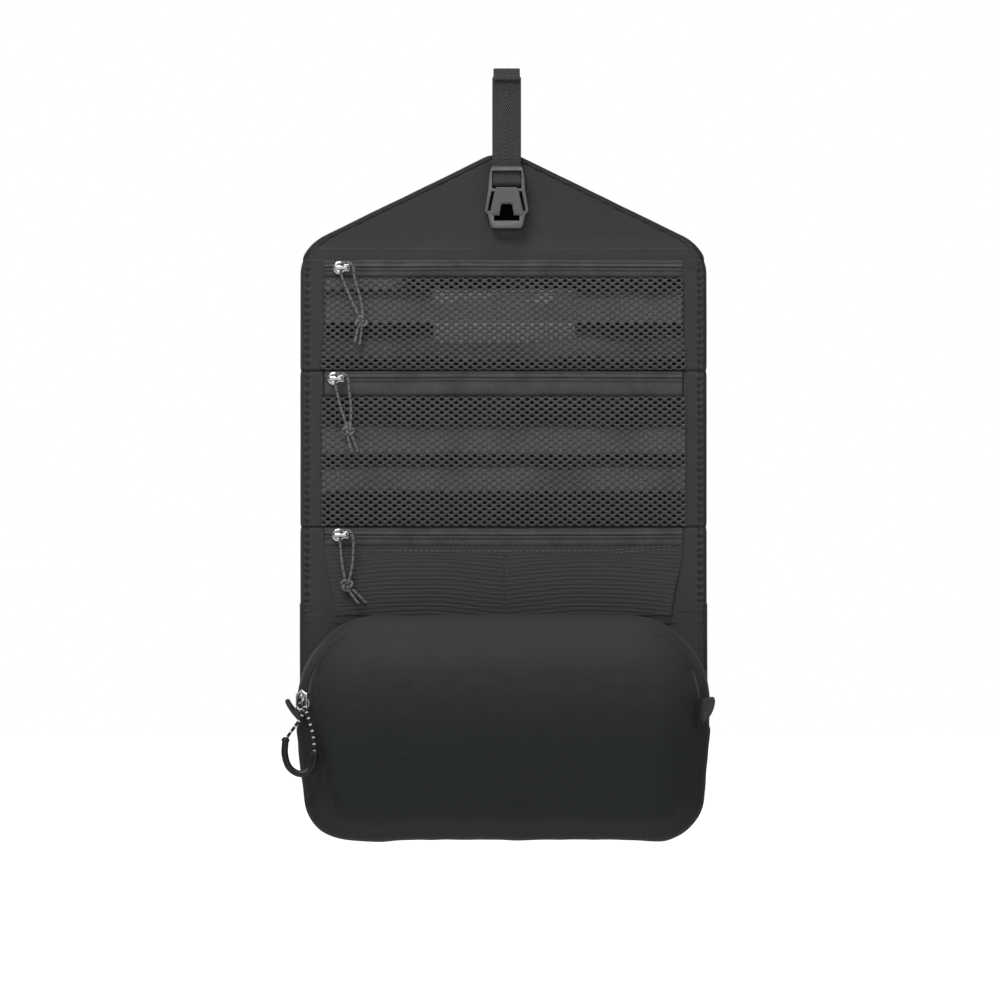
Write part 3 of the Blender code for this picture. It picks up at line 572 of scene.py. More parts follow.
def tube(name, path, radius, look, sides=14, caps=True, wobble=0.0):
    """A round tube along a path in millimetres. It stores how far along and around each point is."""
    points, along_values, around_values = [], [], []
    runs = run_lengths(path)
    last = len(path) - 1
    normal = heading(path, 0).orthogonal().normalized()
    for i, (here, run) in enumerate(zip(path, runs)):
        ahead = heading(path, i)
        normal = (normal - ahead * normal.dot(ahead)).normalized()
        side = ahead.cross(normal)
        share = radius(i / last) if callable(radius) else radius
        for k in range(sides):
            angle = 2 * math.pi * k / sides
            r = share * (1 + wobble * math.sin(4 * angle + run * 2.4))
            points.append(here + (normal * math.cos(angle) + side * math.sin(angle)) * r)
            along_values.append(run)
            around_values.append(2 * min(k, sides - k) / sides)
    faces = ring_faces(len(path), sides)
    if caps:
        for end, inner, order in ((0, 1, -1), (last, last - 1, 1)):
            centre = len(points)
            points.append(path[end] + (path[end] - path[inner]).normalized() * 0.25)
            along_values.append(runs[end])
            around_values.append(0.5)
            for k in range(sides):
                pair = (end * sides + k, end * sides + (k + 1) % sides)
                faces.append((*pair[::order], centre))
    piece = make(name, points, faces, look)
    store(piece, "along", along_values)
    store(piece, "around", around_values)
    fix_normals(piece)
    return piece


# A stitch's rings: how far along it each lies, its share of the thread's radius, and how far it lifts.
STITCH_RINGS = ((0.0, 0.35, -0.6), (0.2, 0.9, 0.2), (0.5, 1.0, 0.45), (0.8, 0.9, 0.2), (1.0, 0.35, -0.6))


def stitches(name, routes, pitch, length, look, body, slot, radius=THREAD, sink=0.0):
    """Short threads along routes of points in millimetres, each a small tapered capsule."""
    points, faces = [], []
    sides = 6
    for route in routes:
        route = [Vector(p) for p in route]
        runs = run_lengths(route)

        def at(run):
            run = min(max(run, 0.0), runs[-1])
            k = max(i for i, r in enumerate(runs) if r <= run + 1e-9)
            k = min(k, len(route) - 2)
            share = (run - runs[k]) / max(1e-9, runs[k + 1] - runs[k])
            return route[k].lerp(route[k + 1], share)

        for n in range(int(runs[-1] / pitch)):
            first, last = at(n * pitch), at(n * pitch + length)
            along = last - first
            if along.length < 1e-6:
                continue
            side = along.normalized().cross(Vector((0, 1, 0))).normalized()
            out = side.cross(along.normalized())
            if out.y > 0:
                out = -out
            base = len(points)
            for t, share, lift in STITCH_RINGS:
                centre = first.lerp(last, t) + out * ((lift - sink) * radius)
                for k in range(sides):
                    angle = 2 * math.pi * k / sides
                    points.append(centre + (side * math.cos(angle) + out * math.sin(angle)) * radius * share)
            faces += ring_faces(len(STITCH_RINGS), sides, base)
            faces.append(tuple(base + k for k in reversed(range(sides))))
            faces.append(tuple(len(points) - sides + k for k in range(sides)))
    piece = make(name, points, faces, look)
    fix_normals(piece)
    return finish_piece(piece, body, slot)


# ---- camera, floor and light ---------------------------------------------------------------------
def shown_white(tree, strength, lit, extra):
    """Sets a glow to lit for the light it casts, and adds extra to how bright it looks itself."""
    seen = tree.nodes.new("ShaderNodeLightPath").outputs["Is Camera Ray"]
    glow = tree.nodes.new("ShaderNodeMath")
    glow.operation = "MULTIPLY_ADD"
    tree.links.new(seen, glow.inputs[0])
    if isinstance(extra, bpy.types.NodeSocket):
        tree.links.new(extra, glow.inputs[1])
    else:
        glow.inputs[1].default_value = extra
    glow.inputs[2].default_value = lit
    tree.links.new(glow.outputs[0], strength)


VIEW_CENTRE = Vector((-0.00245, 0, -0.2898))
VIEW_HEIGHT = 0.7
CAMERA_AWAY = 4.6
SENSOR = 36.0
FLOOR_Z, FLOOR_REACH = -0.95, 14.0
# Each light's name, place, aim, size and power.
LIGHTS = (
    ("key", (-0.7, -1.5, 1.7), (0, 0, -0.28), (1.2, 0.8), 27),
    ("front", (-0.2, -3.0, 0.62), (0, 0, -0.28), (1.8, 1.1), 7),
    ("fill", (1.5, -2.6, 0.2), (0, 0, -0.3), (1.0, 1.4), 3),
    ("top", (0.1, -0.35, 1.6), (0, -0.02, -0.3), (1.0, 0.5), 9),
    ("behind", (-0.9, 2.6, 1.5), (0, 0, -0.3), (2.0, 1.2), 34),
)


def build_camera():
    """A long lens level with the bag's middle."""
    data = bpy.data.cameras.new("camera")
    data.sensor_width = SENSOR
    data.lens = SENSOR * CAMERA_AWAY / VIEW_HEIGHT
    data.clip_end = 50.0
    camera = link("camera", data)
    camera.location = VIEW_CENTRE + Vector((0, -CAMERA_AWAY, 0))
    camera.rotation_euler = (math.radians(90), 0, 0)
    bpy.context.scene.camera = camera


def build_surroundings():
    """A world and a far floor that look white, and cast only a little light."""
    scene = bpy.context.scene
    world = bpy.data.worlds.new("studio")
    world.use_nodes = True
    background = world.node_tree.nodes["Background"]
    shown_white(world.node_tree, background.inputs["Strength"], 0.16, 0.84)
    background.inputs["Color"].default_value = (1, 1, 1, 1)
    scene.world = world
    scene.view_settings.view_transform = "Standard"

    r = FLOOR_REACH
    mesh = bpy.data.meshes.new("floor")
    mesh.from_pydata([(x, y, FLOOR_Z) for x, y in ((-r, -r), (r, -r), (r, r), (-r, r))], [], [(0, 1, 2, 3)])
    look = Look("pale_paper", (0.93, 0.93, 0.93, 1), 0.9)
    look.shader.inputs["Emission Color"].default_value = (1, 1, 1, 1)
    away = look.node("VectorMath", {0: look.place}, operation="LENGTH").outputs["Value"]
    far = look.smooth(away, 1.2 / MM, 3.6 / MM)
    shown_white(look.tree, look.shader.inputs["Emission Strength"], 0.0, far)
    mesh.materials.append(look.material)
    link("floor", mesh)


def build_lights():
    for name, place, aim, size, power in LIGHTS:
        light = bpy.data.lights.new(name, "AREA")
        light.shape = "RECTANGLE"
        light.size, light.size_y = size
        light.energy = power
        lamp = link(name, light)
        lamp.location = place
        lamp.rotation_euler = (Vector(aim) - Vector(place)).to_track_quat("-Z", "Y").to_euler()


build_camera()
build_surroundings()
build_lights()


# ---- the panel's outline -------------------------------------------------------------------------
def half_width(z):
    """Half the panel's width at a height: a rounded apex, slanting edges and rounded shoulders."""
    lean = math.hypot(1, FLAP_SLOPE)
    apex_z = FLAP_TOP + CORNER_RADIUS * (lean - 1)
    peak = FLAP_TOP - CORNER_RADIUS
    if z > FLAP_TOP:
        return 0.0
    if z > peak + CORNER_RADIUS / lean:
        return math.sqrt(max(0.0, CORNER_RADIUS**2 - (z - peak)**2))
    shoulder = PANEL_HALF - CORNER_RADIUS
    centre = apex_z - FLAP_SLOPE * shoulder - CORNER_RADIUS * lean
    if z > centre + CORNER_RADIUS / lean:
        return (apex_z - z) / FLAP_SLOPE
    if z > centre:
        return shoulder + math.sqrt(CORNER_RADIUS**2 - (z - centre)**2)
    return PANEL_HALF


def edge_shade(edge, pucker=1.0):
    """How dark the turned edge and the stitched groove beside it look, by the way in from the edge."""
    return min(1.0, 0.9 * hump(edge, 1.3) + 0.35 * pucker * hump(edge - 4.0, 0.9))


# ---- flap ----------------------------------------------------------------------------------------
FLAP_SEAM = 5.4


def build_flap():
    low = FOLD_Z["upper"] + FOLD_GAP
    top = FLAP_TOP - 0.02

    def front(v, u):
        z = lerp(top, low, v ** 0.8)
        x = (2 * u - 1) * half_width(z)
        edge = half_width(z) - abs(x)
        y = LINING_FRONT + 0.5 * ripple(x, z, 34, 1.0) + 0.22 * ripple(x, z, 11, 2.0)
        y -= 0.35 * hump(edge - 2.2, 1.6)
        y += 0.45 * ripple(x, z, 4.2, 34.0) * math.exp(-(((x - 2) / 19) ** 2 + ((z + 82) / 20) ** 2) ** 2)
        y += 0.7 * hump(edge - FLAP_SEAM, 0.9)
        y += 0.25 * math.sin(z * 1.35 + 2 * ripple(x, z, 9, 4.0)) * hump(edge - FLAP_SEAM, 3.0)
        y -= 1.5 * step(low + 16, low, z)
        return x, y, z

    flap = slab("flap_fabric", 90, 190, front, lambda v, u: PANEL_BACK - front(v, u)[1], ("flap", "shell"))
    mark(flap, "edge", lambda x, z: edge_shade(half_width(z) - abs(x)))
    finish_piece(flap, "flap", "shell_fabric", "flap_shell", "flap_lining")

    heights = spaced(FLAP_TOP - 8, low + 1, 79)
    routes = [[(side * (half_width(z) - FLAP_SEAM), LINING_FRONT + 0.75, z) for z in heights]
              for side in (-1, 1)]
    stitches("flap_topstitch", routes, SEAM_PITCH, SEAM_STITCH, "thread", "flap", "shell_fabric")


build_flap()


# ---- flat sections: backs, borders, zips -------------------------------------------------------
def border_inner(section, z):
    """Where a side border ends towards the middle. It widens towards the bag's lower pockets."""
    if section == "upper":
        return INNER_HALF - 0.6 + 3.0 * step(-168, -200, z)
    if section == "middle":
        return INNER_HALF + 1.5
    return INNER_HALF + 1.0 - 9.0 * step(-315, -372, z)


def build_back(section, low, high):
    """Shell and lining together, with a rounded edge."""
    def front(v, u):
        z = lerp(high, low, v)
        x = (2 * u - 1) * half_width(z)
        return x, LINING_FRONT + 0.15 * ripple(x, z, 30, 5.0), z

    def thick(v, u):
        x, y, z = front(v, u)
        edge = half_width(z) - abs(x)
        relief = 0.35 * ripple(x, z, 42, 6.0) - 0.5 * hump(edge - BACK_SEAM, 0.9)
        relief -= 0.5 * hump(min(z - low, high - z), 2.0)
        return PANEL_BACK - y + relief

    rows = max(20, int((high - low) / 1.6))
    back = slab(section + "_back", rows, 150, front, thick, ("lining", "shell"))
    finish_piece(back, section, "shell_fabric", section + "_shell", section + "_lining")
    heights = spaced(high - 1, low + 1, 40)
    routes = [[(side * (half_width(z) - BACK_SEAM), PANEL_BACK - 0.35, z) for z in heights]
              for side in (-1, 1)]
    stitches(section + "_back_topstitch", routes, SEAM_PITCH, SEAM_STITCH, "thread", section,
             "shell_fabric", sink=-1.2)


def build_border(section, side, low, high):
    name = "left" if side < 0 else "right"
    rows = int((high - low) / FINE)

    def front(v, u):
        z = lerp(high, low, v)
        inner = border_inner(section, z)
        x = lerp(inner, half_width(z) - 0.1, u)
        edge = half_width(z) - x
        y = BORDER_FRONT - 0.25 + 0.35 * ripple(x * side, z, 24, 7.0)
        pucker = math.sin(z * 1.25 + 3.0 * ripple(x * side, z, 14, 8.0))
        y += 0.65 * hump(edge - BORDER_SEAM, 0.75)
        y += 0.7 * pucker * hump(edge - 3.4, 2.4)
        y -= 0.35 * hump(edge - 1.4, 1.0)
        y += 1.0 * hump(edge, 0.7)
        y += 1.1 * hump(x - inner, 0.6) * (1 if u == 0 else 0)
        if section != "upper":
            y += 0.8 * hump(high - z, 0.9)
        if section != "lower":
            y += 0.8 * hump(z - low, 0.9)
        return side * x, y, z

    piece = slab(f"{section}_side_border_{name}", rows, 30, front,
                 lambda v, u: LINING_FRONT - 0.05 - front(v, u)[1], "border", rim=0.25)
    mark(piece, "edge", lambda x, z: edge_shade(half_width(z) - abs(x), 0.4 + 0.5 * math.sin(1.25 * z)))
    finish_piece(piece, section, "border_fabric", f"{section}_border_{name}")
    heights = spaced(high - 1, low + 1, rows - 1)
    route = [(side * (half_width(z) - BORDER_SEAM), BORDER_FRONT + 0.28, z) for z in heights]
    stitches(f"{section}_border_stitch_{name}", [route], 3.1, 2.3, "thread", section, "border_fabric")


ZIP_TOOTH = 1.35


def zip_relief(off, x):
    """How far the zip stands out, by the distance from its middle and along it."""
    bulge = 0.95 * hump(abs(off) - 1.15, 0.95)
    groove = -0.9 * hump(off, 0.30)
    tooth = 0.10 * math.sin(2 * math.pi * x / ZIP_TOOTH) * hump(abs(off) - 1.1, 0.7)
    edge = -0.35 * hump(abs(off) - 2.9, 0.4)
    return bulge + groove + tooth + edge


def build_zip(section):
    """Both tapes and the coil they cover, as one band with a groove along its middle."""
    top = node_box(section + "_zip_tape_top")[1].z + 1.0
    bottom = node_box(section + "_zip_tape_bottom")[0].z
    zip_z = ZIP_Z[section]
    front_y = node_box(section + "_zip_tape_top")[0].y
    heights = spaced(zip_z + 3.4, zip_z - 3.4, 22)
    heights = [top, lerp(top, heights[0], 0.5)] + heights + spaced(heights[-1], bottom, 4)[1:]
    count = len(heights) - 1
    bow = 0.9 if section == "lower" else -0.54

    def front(v, u):
        k = round(v * count)
        x = (2 * u - 1) * (INNER_HALF + 0.8)
        z = heights[k]
        sag = 0.5 * ripple(x, 0, 60, 9.0) + bow * (1 - (x / INNER_HALF) ** 2)
        edges = {0: 0.9 * ripple(x, 0, 34, 35.0), count: 1.6 * ripple(x, 0, 22, 10.0 + len(section))}
        y = front_y - zip_relief(z - zip_z, x) + 0.22 * ripple(x, z, 15, 11.0)
        y += {0: 0.6, count: 1.2, count - 1: 0.6, count - 2: 0.2}.get(k, 0.0)
        return x, y, z - sag * 0.6 - edges.get(k, 0.0) * 0.5

    piece = slab(section + "_zip", count, 900, front, 0.9, ("tape", "tape"), rim=0.2)
    finish_piece(piece, section, "zip_tape", section + "_zip_tape_top", section + "_zip_tape_bottom",
                 section + "_zip_coil")
    return piece


for section, below in zip(SECTIONS, ("middle", "lower", "pouch")):
    section_high, section_low = FOLD_Z[section] - FOLD_GAP, FOLD_Z[below] + FOLD_GAP
    build_back(section, section_low, section_high)
    for border_side in (-1, 1):
        build_border(section, border_side, section_low, section_high)
    build_zip(section)


# ---- mesh pockets --------------------------------------------------------------------------------
HOLE_PITCH = 6.63
HOLE_ROW = 2.33
YARN = 0.42
# How far the lining hangs behind the mesh down each pocket: 0 where it touches, 1 where it is away.
AWAY = {
    "upper": [(-136, 0.9), (-142, 1.0), (-147, 0.35), (-151, 0.05), (-165.6, 0.0), (-166.0, 1.0),
              (-173, 0.9), (-180, 0.2), (-189, 0.25), (-193, 1.0), (-200, 1.0)],
    "middle": [(-217, 0.95), (-236, 0.9), (-241, 0.1), (-254, 0.0), (-257.6, 0.1), (-258.0, 1.0),
               (-265, 0.9), (-269, 0.05), (-282, 0.05), (-286, 0.95), (-309, 1.0)],
}


LINING_CREASE = {"upper": -165.8, "middle": -257.8}


def away(section, x, z):
    """How far the lining is behind the mesh at a place, 0 to 1."""
    wander = (3.0 if section == "upper" else 2.0) * ripple(x, z, 36, 12.0)
    level = profile(AWAY[section], z + wander if abs(LINING_CREASE[section] - z) > 5 else z)
    if section == "upper" and z > -143:
        level = step(-78, -66, x + 8 * ripple(x, z, 12, 33.0))
    if section == "upper" and -150 < z < -144 and -50 < x < 51:
        level = min(level, 0.1)
    return min(1.0, max(0.0, level + 0.22 * ripple(x, z, 24, 13.0)))


def mesh_y(section, x, z):
    """The mesh's middle surface, which bellies out a little where the lining is away."""
    low, high = node_box(section + "_pocket_mesh")
    belly = min(1.0, (high.z - z) / 8, (z - low.z + 1.5) / 6, (INNER_HALF - abs(x)) / 8)
    out = 0.9 * away(section, x, z) + 0.5 * ripple(x, z, 30, 14.0) + 0.35
    return MESH_FRONT + 0.5 - out * max(0.0, belly)


def build_mesh(section, top, bottom):
    """A staggered net of holes with rounded rims, cut straight at the pocket's edges."""
    rows = int((top - bottom) / HOLE_ROW) + 1
    columns = int(2 * INNER_HALF / HOLE_PITCH) + 3
    points, faces, index = [], [], {}
    corner_x = (HOLE_PITCH**2 / 4 + HOLE_ROW**2) / HOLE_PITCH
    shoulder_x = (HOLE_PITCH**2 / 4 - HOLE_ROW**2) / HOLE_PITCH
    hexagon = [(corner_x, 0), (shoulder_x, HOLE_ROW), (-shoulder_x, HOLE_ROW), (-corner_x, 0),
               (-shoulder_x, -HOLE_ROW), (shoulder_x, -HOLE_ROW)]
    outline = []
    for (ax, az), (bx, bz) in zip(hexagon, hexagon[1:] + hexagon[:1]):
        outline += [(ax, az), ((ax + bx) / 2, (az + bz) / 2)]

    def inside(x, z):
        half = border_inner(section, z) + 2.0
        return max(-half, min(half, x)), max(bottom, min(top, z))

    def shared(x, z, lift):
        """A point between cells, which its neighbours use too."""
        x, z = inside(x, z)
        key = (round(x, 2), round(z, 2), lift)
        if key not in index:
            index[key] = len(points)
            points.append((x, mesh_y(section, x, z) + lift, z))
        return index[key]

    def rim(cx, cz):
        """The hole's own rim, halfway through the yarn."""
        wide = 1.72 + 0.12 * ripple(cx, cz, 8, 15.0)
        tall = 1.02 + 0.16 * ripple(cx, cz, 12, 16.0)
        for px, pz in outline:
            angle = math.atan2(pz / HOLE_ROW, px / corner_x)
            x, z = inside(cx + wide * math.cos(angle), cz + tall * math.sin(angle))
            points.append((x, mesh_y(section, x, z), z))
        return list(range(len(points) - len(outline), len(points)))

    for row in range(-1, rows + 1):
        for column in range(-columns // 2, columns // 2 + 1):
            cx = (column + (row % 2) / 2) * HOLE_PITCH
            cz = top - row * HOLE_ROW
            if abs(cx) > INNER_HALF + 3 or not bottom - HOLE_ROW < cz < top + HOLE_ROW:
                continue
            rings = [[shared(cx + px, cz + pz, -YARN) for px, pz in outline], rim(cx, cz),
                     [shared(cx + px, cz + pz, YARN) for px, pz in outline]]
            for ring, after in zip(rings, rings[1:]):
                for k in range(len(outline)):
                    n = (k + 1) % len(outline)
                    quad = (ring[k], ring[n], after[n], after[k])
                    if len(set(quad)) == 4:
                        faces.append(quad)
    piece = make(section + "_mesh", points, faces, "mesh")
    reshape(piece, lambda bm: bmesh.ops.dissolve_degenerate(bm, edges=bm.edges, dist=WELD))
    fix_normals(piece)
    piece.data.shade_smooth()
    finish_piece(piece, section, "mesh_fabric", section + "_pocket_mesh")


def build_mesh_pocket(section):
    """The mesh and the cloth that hangs behind it."""
    top = node_box(section + "_pocket_mesh")[1].z + 0.6
    bottom = FOLD_Z["middle" if section == "upper" else "lower"] + 0.9
    build_mesh(section, top, bottom)

    def lining(v, u):
        z = lerp(top, bottom, v)
        x = (2 * u - 1) * (border_inner(section, z) + 1.0)
        touch = mesh_y(section, x, z) + 0.12
        deep = LINING_FRONT - 0.45
        return x, lerp(touch, deep, away(section, x, z)), z

    rows = int((top - bottom) / FINE)
    cloth = slab(section + "_pocket_lining", rows, 180, lining, 0.3, ("pocket_lining", "lining"))
    mark(cloth, "away", lambda x, z: away(section, x, z))
    finish_piece(cloth, section, "lining_fabric")


def build_label():
    """A blank cloth label in three leaves, close behind the upper mesh."""
    low, high = node_box("care_label")

    def leaf(name, top, bottom, shift):
        def front(v, u):
            x, z = lerp(low.x, high.x, u), lerp(top, bottom, v)
            return x, mesh_y("upper", x, z) + shift + 0.1 * ripple(x, z, 12, 17.0), z
        return slab(name, 24, 70, front, 0.25, "label")

    lower_top = high.z - 20.0
    upper = leaf("label_upper_leaf", high.z, high.z - 9.4, 0.35)
    lower = leaf("care_label_leaf", lower_top, low.z, 0.52)
    middle = leaf("label_middle_leaf", high.z - 9.0, high.z - 20.6, 0.58)
    finish_piece(lower, "upper", "label_cloth", "care_label")
    finish_piece(upper, "upper", "label_cloth")
    finish_piece(middle, "upper", "label_cloth")


for mesh_section in ("upper", "middle"):
    build_mesh_pocket(mesh_section)
build_label()


# ---- ribbed pocket -------------------------------------------------------------------------------
def build_ribbed_pocket():
    low, high = node_box("lower_pocket_ribbed")
    top, bottom = high.z + 0.8, FOLD_Z["pouch"] - 1.4
    centre_x = 1.75

    def front(v, u):
        z = lerp(top, bottom, v)
        half = border_inner("lower", z) + 1.2
        x = lerp(-half, half, u)
        local = (x - centre_x) / INNER_HALF
        arch = 5.0 * math.sin(math.pi * min(1.0, abs(local))) * step(top, top - 12, z)
        phase = (z - arch) / 3.1 + 0.25 * ripple(x, z, 30, 18.0)
        ribs = 0.13 * math.sin(2 * math.pi * phase) + 0.03 * math.sin(2 * math.pi * phase * 3.0)
        y = low.y - 0.5 - ribs * min(1.0, (top - z) / 4) - 1.1 * math.sin(math.pi * min(1.0, abs(local)))
        y += 1.0 * hump(x - centre_x, 1.0) * step(top - 6, top - 9, z)
        y += 0.4 * hump(top - z - 1.6, 0.6)
        y += 0.9 * step(INNER_HALF - 6, INNER_HALF + 1, abs(x))
        return x, y, z

    piece = slab("ribbed_pocket", 110, 260, front, 0.8, ("rib", "lining"), rim=0.3)
    finish_piece(piece, "lower", "ribbed_fabric", "lower_pocket_ribbed")

    def on_front(x, z, off=-0.12):
        v = (top - z) / (top - bottom)
        half = border_inner("lower", z) + 1.2
        point = front(v, (x + half) / (2 * half))
        return Vector((x, point[1] + off, z))

    def seam_z(x):
        return top - 1.9 - 1.4 * (1 - (x / INNER_HALF) ** 2) + 2.6 * step(60, 124, x)

    across = [[on_front(x, seam_z(x)) for x in spaced(-118, 122, 120)]]
    second = [[on_front(x, seam_z(x) - 2.2) for x in spaced(74, 122, 40)]]
    stitches("ribbed_topstitch", across + second, 3.7, 2.4, "pale_thread", "lower", "ribbed_fabric", 0.26)
    down = [[on_front(centre_x, z, -0.05) for z in spaced(top - 9, bottom + 1, 30)]]
    wedge = [(centre_x - 5.5, top - 3.4), (centre_x + 5.5, top - 3.6), (centre_x + 0.2, top - 9.6),
             (centre_x - 5.5, top - 3.4)]
    triangle = []
    for (ax, az), (bx, bz) in zip(wedge, wedge[1:]):
        triangle.append([on_front(x, z) for x, z in zip(spaced(ax, bx, 8), spaced(az, bz, 8))])
    stitches("ribbed_centre_stitch", down + triangle, 1.5, 1.3, "pale_thread", "lower", "ribbed_fabric", 0.2)


build_ribbed_pocket()


# ---- folds: strips of fabric that cover the fold between two sections ---------------------------
def build_fold(name, below, starts_y, ends_y, dip, look, middle_rise=0.0):
    """A strip across a fold whose front goes from one level at its top to another at its bottom."""
    z = FOLD_Z[below]
    reach = 7.0

    def front(v, u):
        here = lerp(z + reach, z - reach, v)
        x = (2 * u - 1) * (half_width(max(here, z)) - 0.4)
        y = lerp(starts_y, ends_y, step(z + reach, z + 0.5, here))
        y -= middle_rise * step(INNER_HALF - 3, INNER_HALF - 12, abs(x))
        return x, y + dip * hump(here - z, 1.2) + 0.1 * ripple(x, here, 20, 19.0), here

    strip = slab(name, 28, 120, front, lambda v, u: PANEL_BACK + 0.12 - front(v, u)[1], (look, "shell"))
    mark(strip, "edge", lambda x, z: edge_shade(half_width(z) - abs(x)))
    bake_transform(strip)


BEHIND_FOLD = LINING_FRONT + 0.15
OVER_FOLD = BORDER_FRONT - 0.27
build_fold("flap_fold", "upper", OVER_FOLD + 0.35, OVER_FOLD, 0.0, "flap")
build_fold("upper_fold_strip", "middle", BEHIND_FOLD, BEHIND_FOLD, 0.5, "lining")
build_fold("lower_fold_strip", "lower", BEHIND_FOLD, BEHIND_FOLD, 0.5, "lining")
build_fold("pouch_fold_strip", "pouch", OVER_FOLD, OVER_FOLD, 0.0, "border", middle_rise=1.3)


# ---- pouch ---------------------------------------------------------------------------------------
POUCH_HALF = 143.5
CORNER_X, CORNER_Z, CORNER = 85.5, -429.4, 58.0
SIDE_LOW_Z = -452.0
LOW_CORNER_X, LOW_CORNER = 135.5, 31.0
POUCH_MIDDLE = Vector((0, 0, -452))
FRONT_Y, FRONT_INSET = -56.0, 34.0
# The front's rim has one profile between these two stretches of height, one below and one above.
LOW_TURN, CROWN = (-437, -449), (-414, -396)
ZIP_LOW_Z = -440.0
ZIP_SLANT = math.radians(52.25)
RING_STEPS = {"bottom": 40, "low_corner": 34, "low_side": 34, "side": 14, "corner": 44, "top": 44}


def pouch_ring(inset):
    """The pouch's closed outline that far inside its widest one, from bottom middle to the right."""
    r = LOW_CORNER - 0.6 * inset
    side = POUCH_HALF - inset
    low_z = BOTTOM_Z + inset
    lean = math.atan2(POUCH_HALF - LOW_CORNER_X, SIDE_LOW_Z - low_z)
    centre_z = low_z + r
    line_x = side - math.tan(lean) * (SIDE_LOW_Z - centre_z)
    centre_x = line_x - r / math.cos(lean)
    touch = (centre_x + r * math.cos(lean), centre_z - r * math.sin(lean))
    top_r = CORNER - inset
    half = []
    steps = RING_STEPS

    def line(a, b, count):
        half.extend((lerp(a[0], b[0], k / count), lerp(a[1], b[1], k / count)) for k in range(count))

    def turn(cx, cz, radius, start, end, count):
        for k in range(count):
            angle = lerp(start, end, k / count)
            half.append((cx + radius * math.cos(angle), cz + radius * math.sin(angle)))

    line((0, low_z), (centre_x, low_z), steps["bottom"])
    turn(centre_x, centre_z, r, -math.pi / 2, -lean, steps["low_corner"])
    line(touch, (side, SIDE_LOW_Z), steps["low_side"])
    line((side, SIDE_LOW_Z), (side, CORNER_Z), steps["side"])
    turn(CORNER_X, CORNER_Z, top_r, 0, math.pi / 2, steps["corner"])
    line((CORNER_X, CORNER_Z + top_r), (0, CORNER_Z + top_r), steps["top"])
    half.append((0, CORNER_Z + top_r))
    return half + [(-x, z) for x, z in reversed(half[1:-1])]


def zip_point(inset, s):
    """A place on the main zip's way, s from 0 at its right end to 1 at its left end."""
    r = CORNER - inset
    side = CORNER_Z - ZIP_LOW_Z
    curve = math.pi / 2 * r
    runs = (side, curve, 2 * CORNER_X, curve, side)
    run = s * sum(runs)
    for k, length in enumerate(runs):
        if run <= length or k == 4:
            break
        run -= length
    if k == 0:
        return POUCH_HALF - inset, ZIP_LOW_Z + run
    if k == 1:
        return CORNER_X + r * math.cos(run / r), CORNER_Z + r * math.sin(run / r)
    if k == 2:
        return CORNER_X - run, CORNER_Z + r
    if k == 3:
        return -CORNER_X - r * math.sin(run / r), CORNER_Z + r * math.cos(run / r)
    return inset - POUCH_HALF, CORNER_Z - run


def grid_mesh(name, rows, look, wrap=False):
    """An open sheet over rows of points, wrapped round when the rows are closed rings."""
    return make(name, [p for row in rows for p in row], ring_faces(len(rows), len(rows[0]), wrap=wrap), look)


def thicken(piece, thickness, offset=-1.0, second=None):
    """Gives an open sheet its thickness for good, with the inside in another finish if named."""
    fix_normals(piece)
    wall = piece.modifiers.new("wall", "SOLIDIFY")
    wall.thickness = thickness * MM
    wall.offset = offset
    if second:
        piece.data.materials.append(LOOKS[second])
        wall.material_offset = 1
    apply_modifiers(piece)
    fix_normals(piece)
    return piece


def outward(x, z):
    away_from = Vector((x, 0, z)) - POUCH_MIDDLE
    return away_from.normalized() if away_from.length > 1e-6 else Vector((0, 0, 1))


def sag(x, z):
    """How far the bottom seam droops in two places."""
    droop = 1.7 * hump(x + 90, 15) + 1.3 * hump(x - 110, 19)
    return (droop - 0.5 + 0.3 * ripple(x, 0, 16, 32.0)) * step(-500, -524, z)


def pouch_swell(x, z, depth):
    """How far the pouch's sides stand out, with soft wrinkles and a slight rise along the top."""
    swell = 0.7 * ripple(x, z + depth, 31, 20.0) + 0.3 * ripple(x + depth, z - depth, 11, 21.0)
    return (swell + 1.8 * step(-392, -376, z)) * step(-1.5, -8.0, depth)


def pouch_rows(profile):
    """Rings of points, one for each depth and inset of a profile."""
    return [[Vector((x, depth, z - sag(x, z))) + outward(x, z) * pouch_swell(x, z, depth)
             for x, z in pouch_ring(inset)] for depth, inset in profile]


def spread_profile(profile, count):
    return [tuple(p)[:2] for p in catmull([(a, b, 0) for a, b in profile], count)]


# Creases: middle (x, z), turn in radians, length and depth.
LEFT_CREASES = ((-125.5, -463, 1.84, 21, 3.4), (-115.5, -497, 1.87, 10, 2.2), (-121, -481, 1.2, 7, 1.8))
SOFT_CREASES = ((112, -476, -1.0, 13, 0.9), (-60, -512, 0.15, 22, 0.6), (48, -515, -0.1, 26, 0.7),
                (98, -502, -0.6, 13, 0.7), (-88, -402, 0.5, 13, 0.4), (92, -404, -0.5, 12, 0.4))


def crease_places(creases, x, z):
    """For each crease, where a point lies along it and across it, and the crease's length and depth."""
    for cx, cz, turn, long, deep in creases:
        along = (x - cx) * math.cos(turn) + (z - cz) * math.sin(turn)
        across = -(x - cx) * math.sin(turn) + (z - cz) * math.cos(turn)
        yield along, across, long, deep


def crease_shade(x, z):
    """How dark the pouch looks in its deepest creases and beside its pull."""
    shade = 0.3 * step(-118, -132, x) * step(-428, -442, z) * step(-512, -486, z)
    for along, across, long, deep in crease_places(LEFT_CREASES, x, z):
        shade += 0.26 * deep * hump(along, long) * hump(across, 2.3)
    return min(1.0, shade)


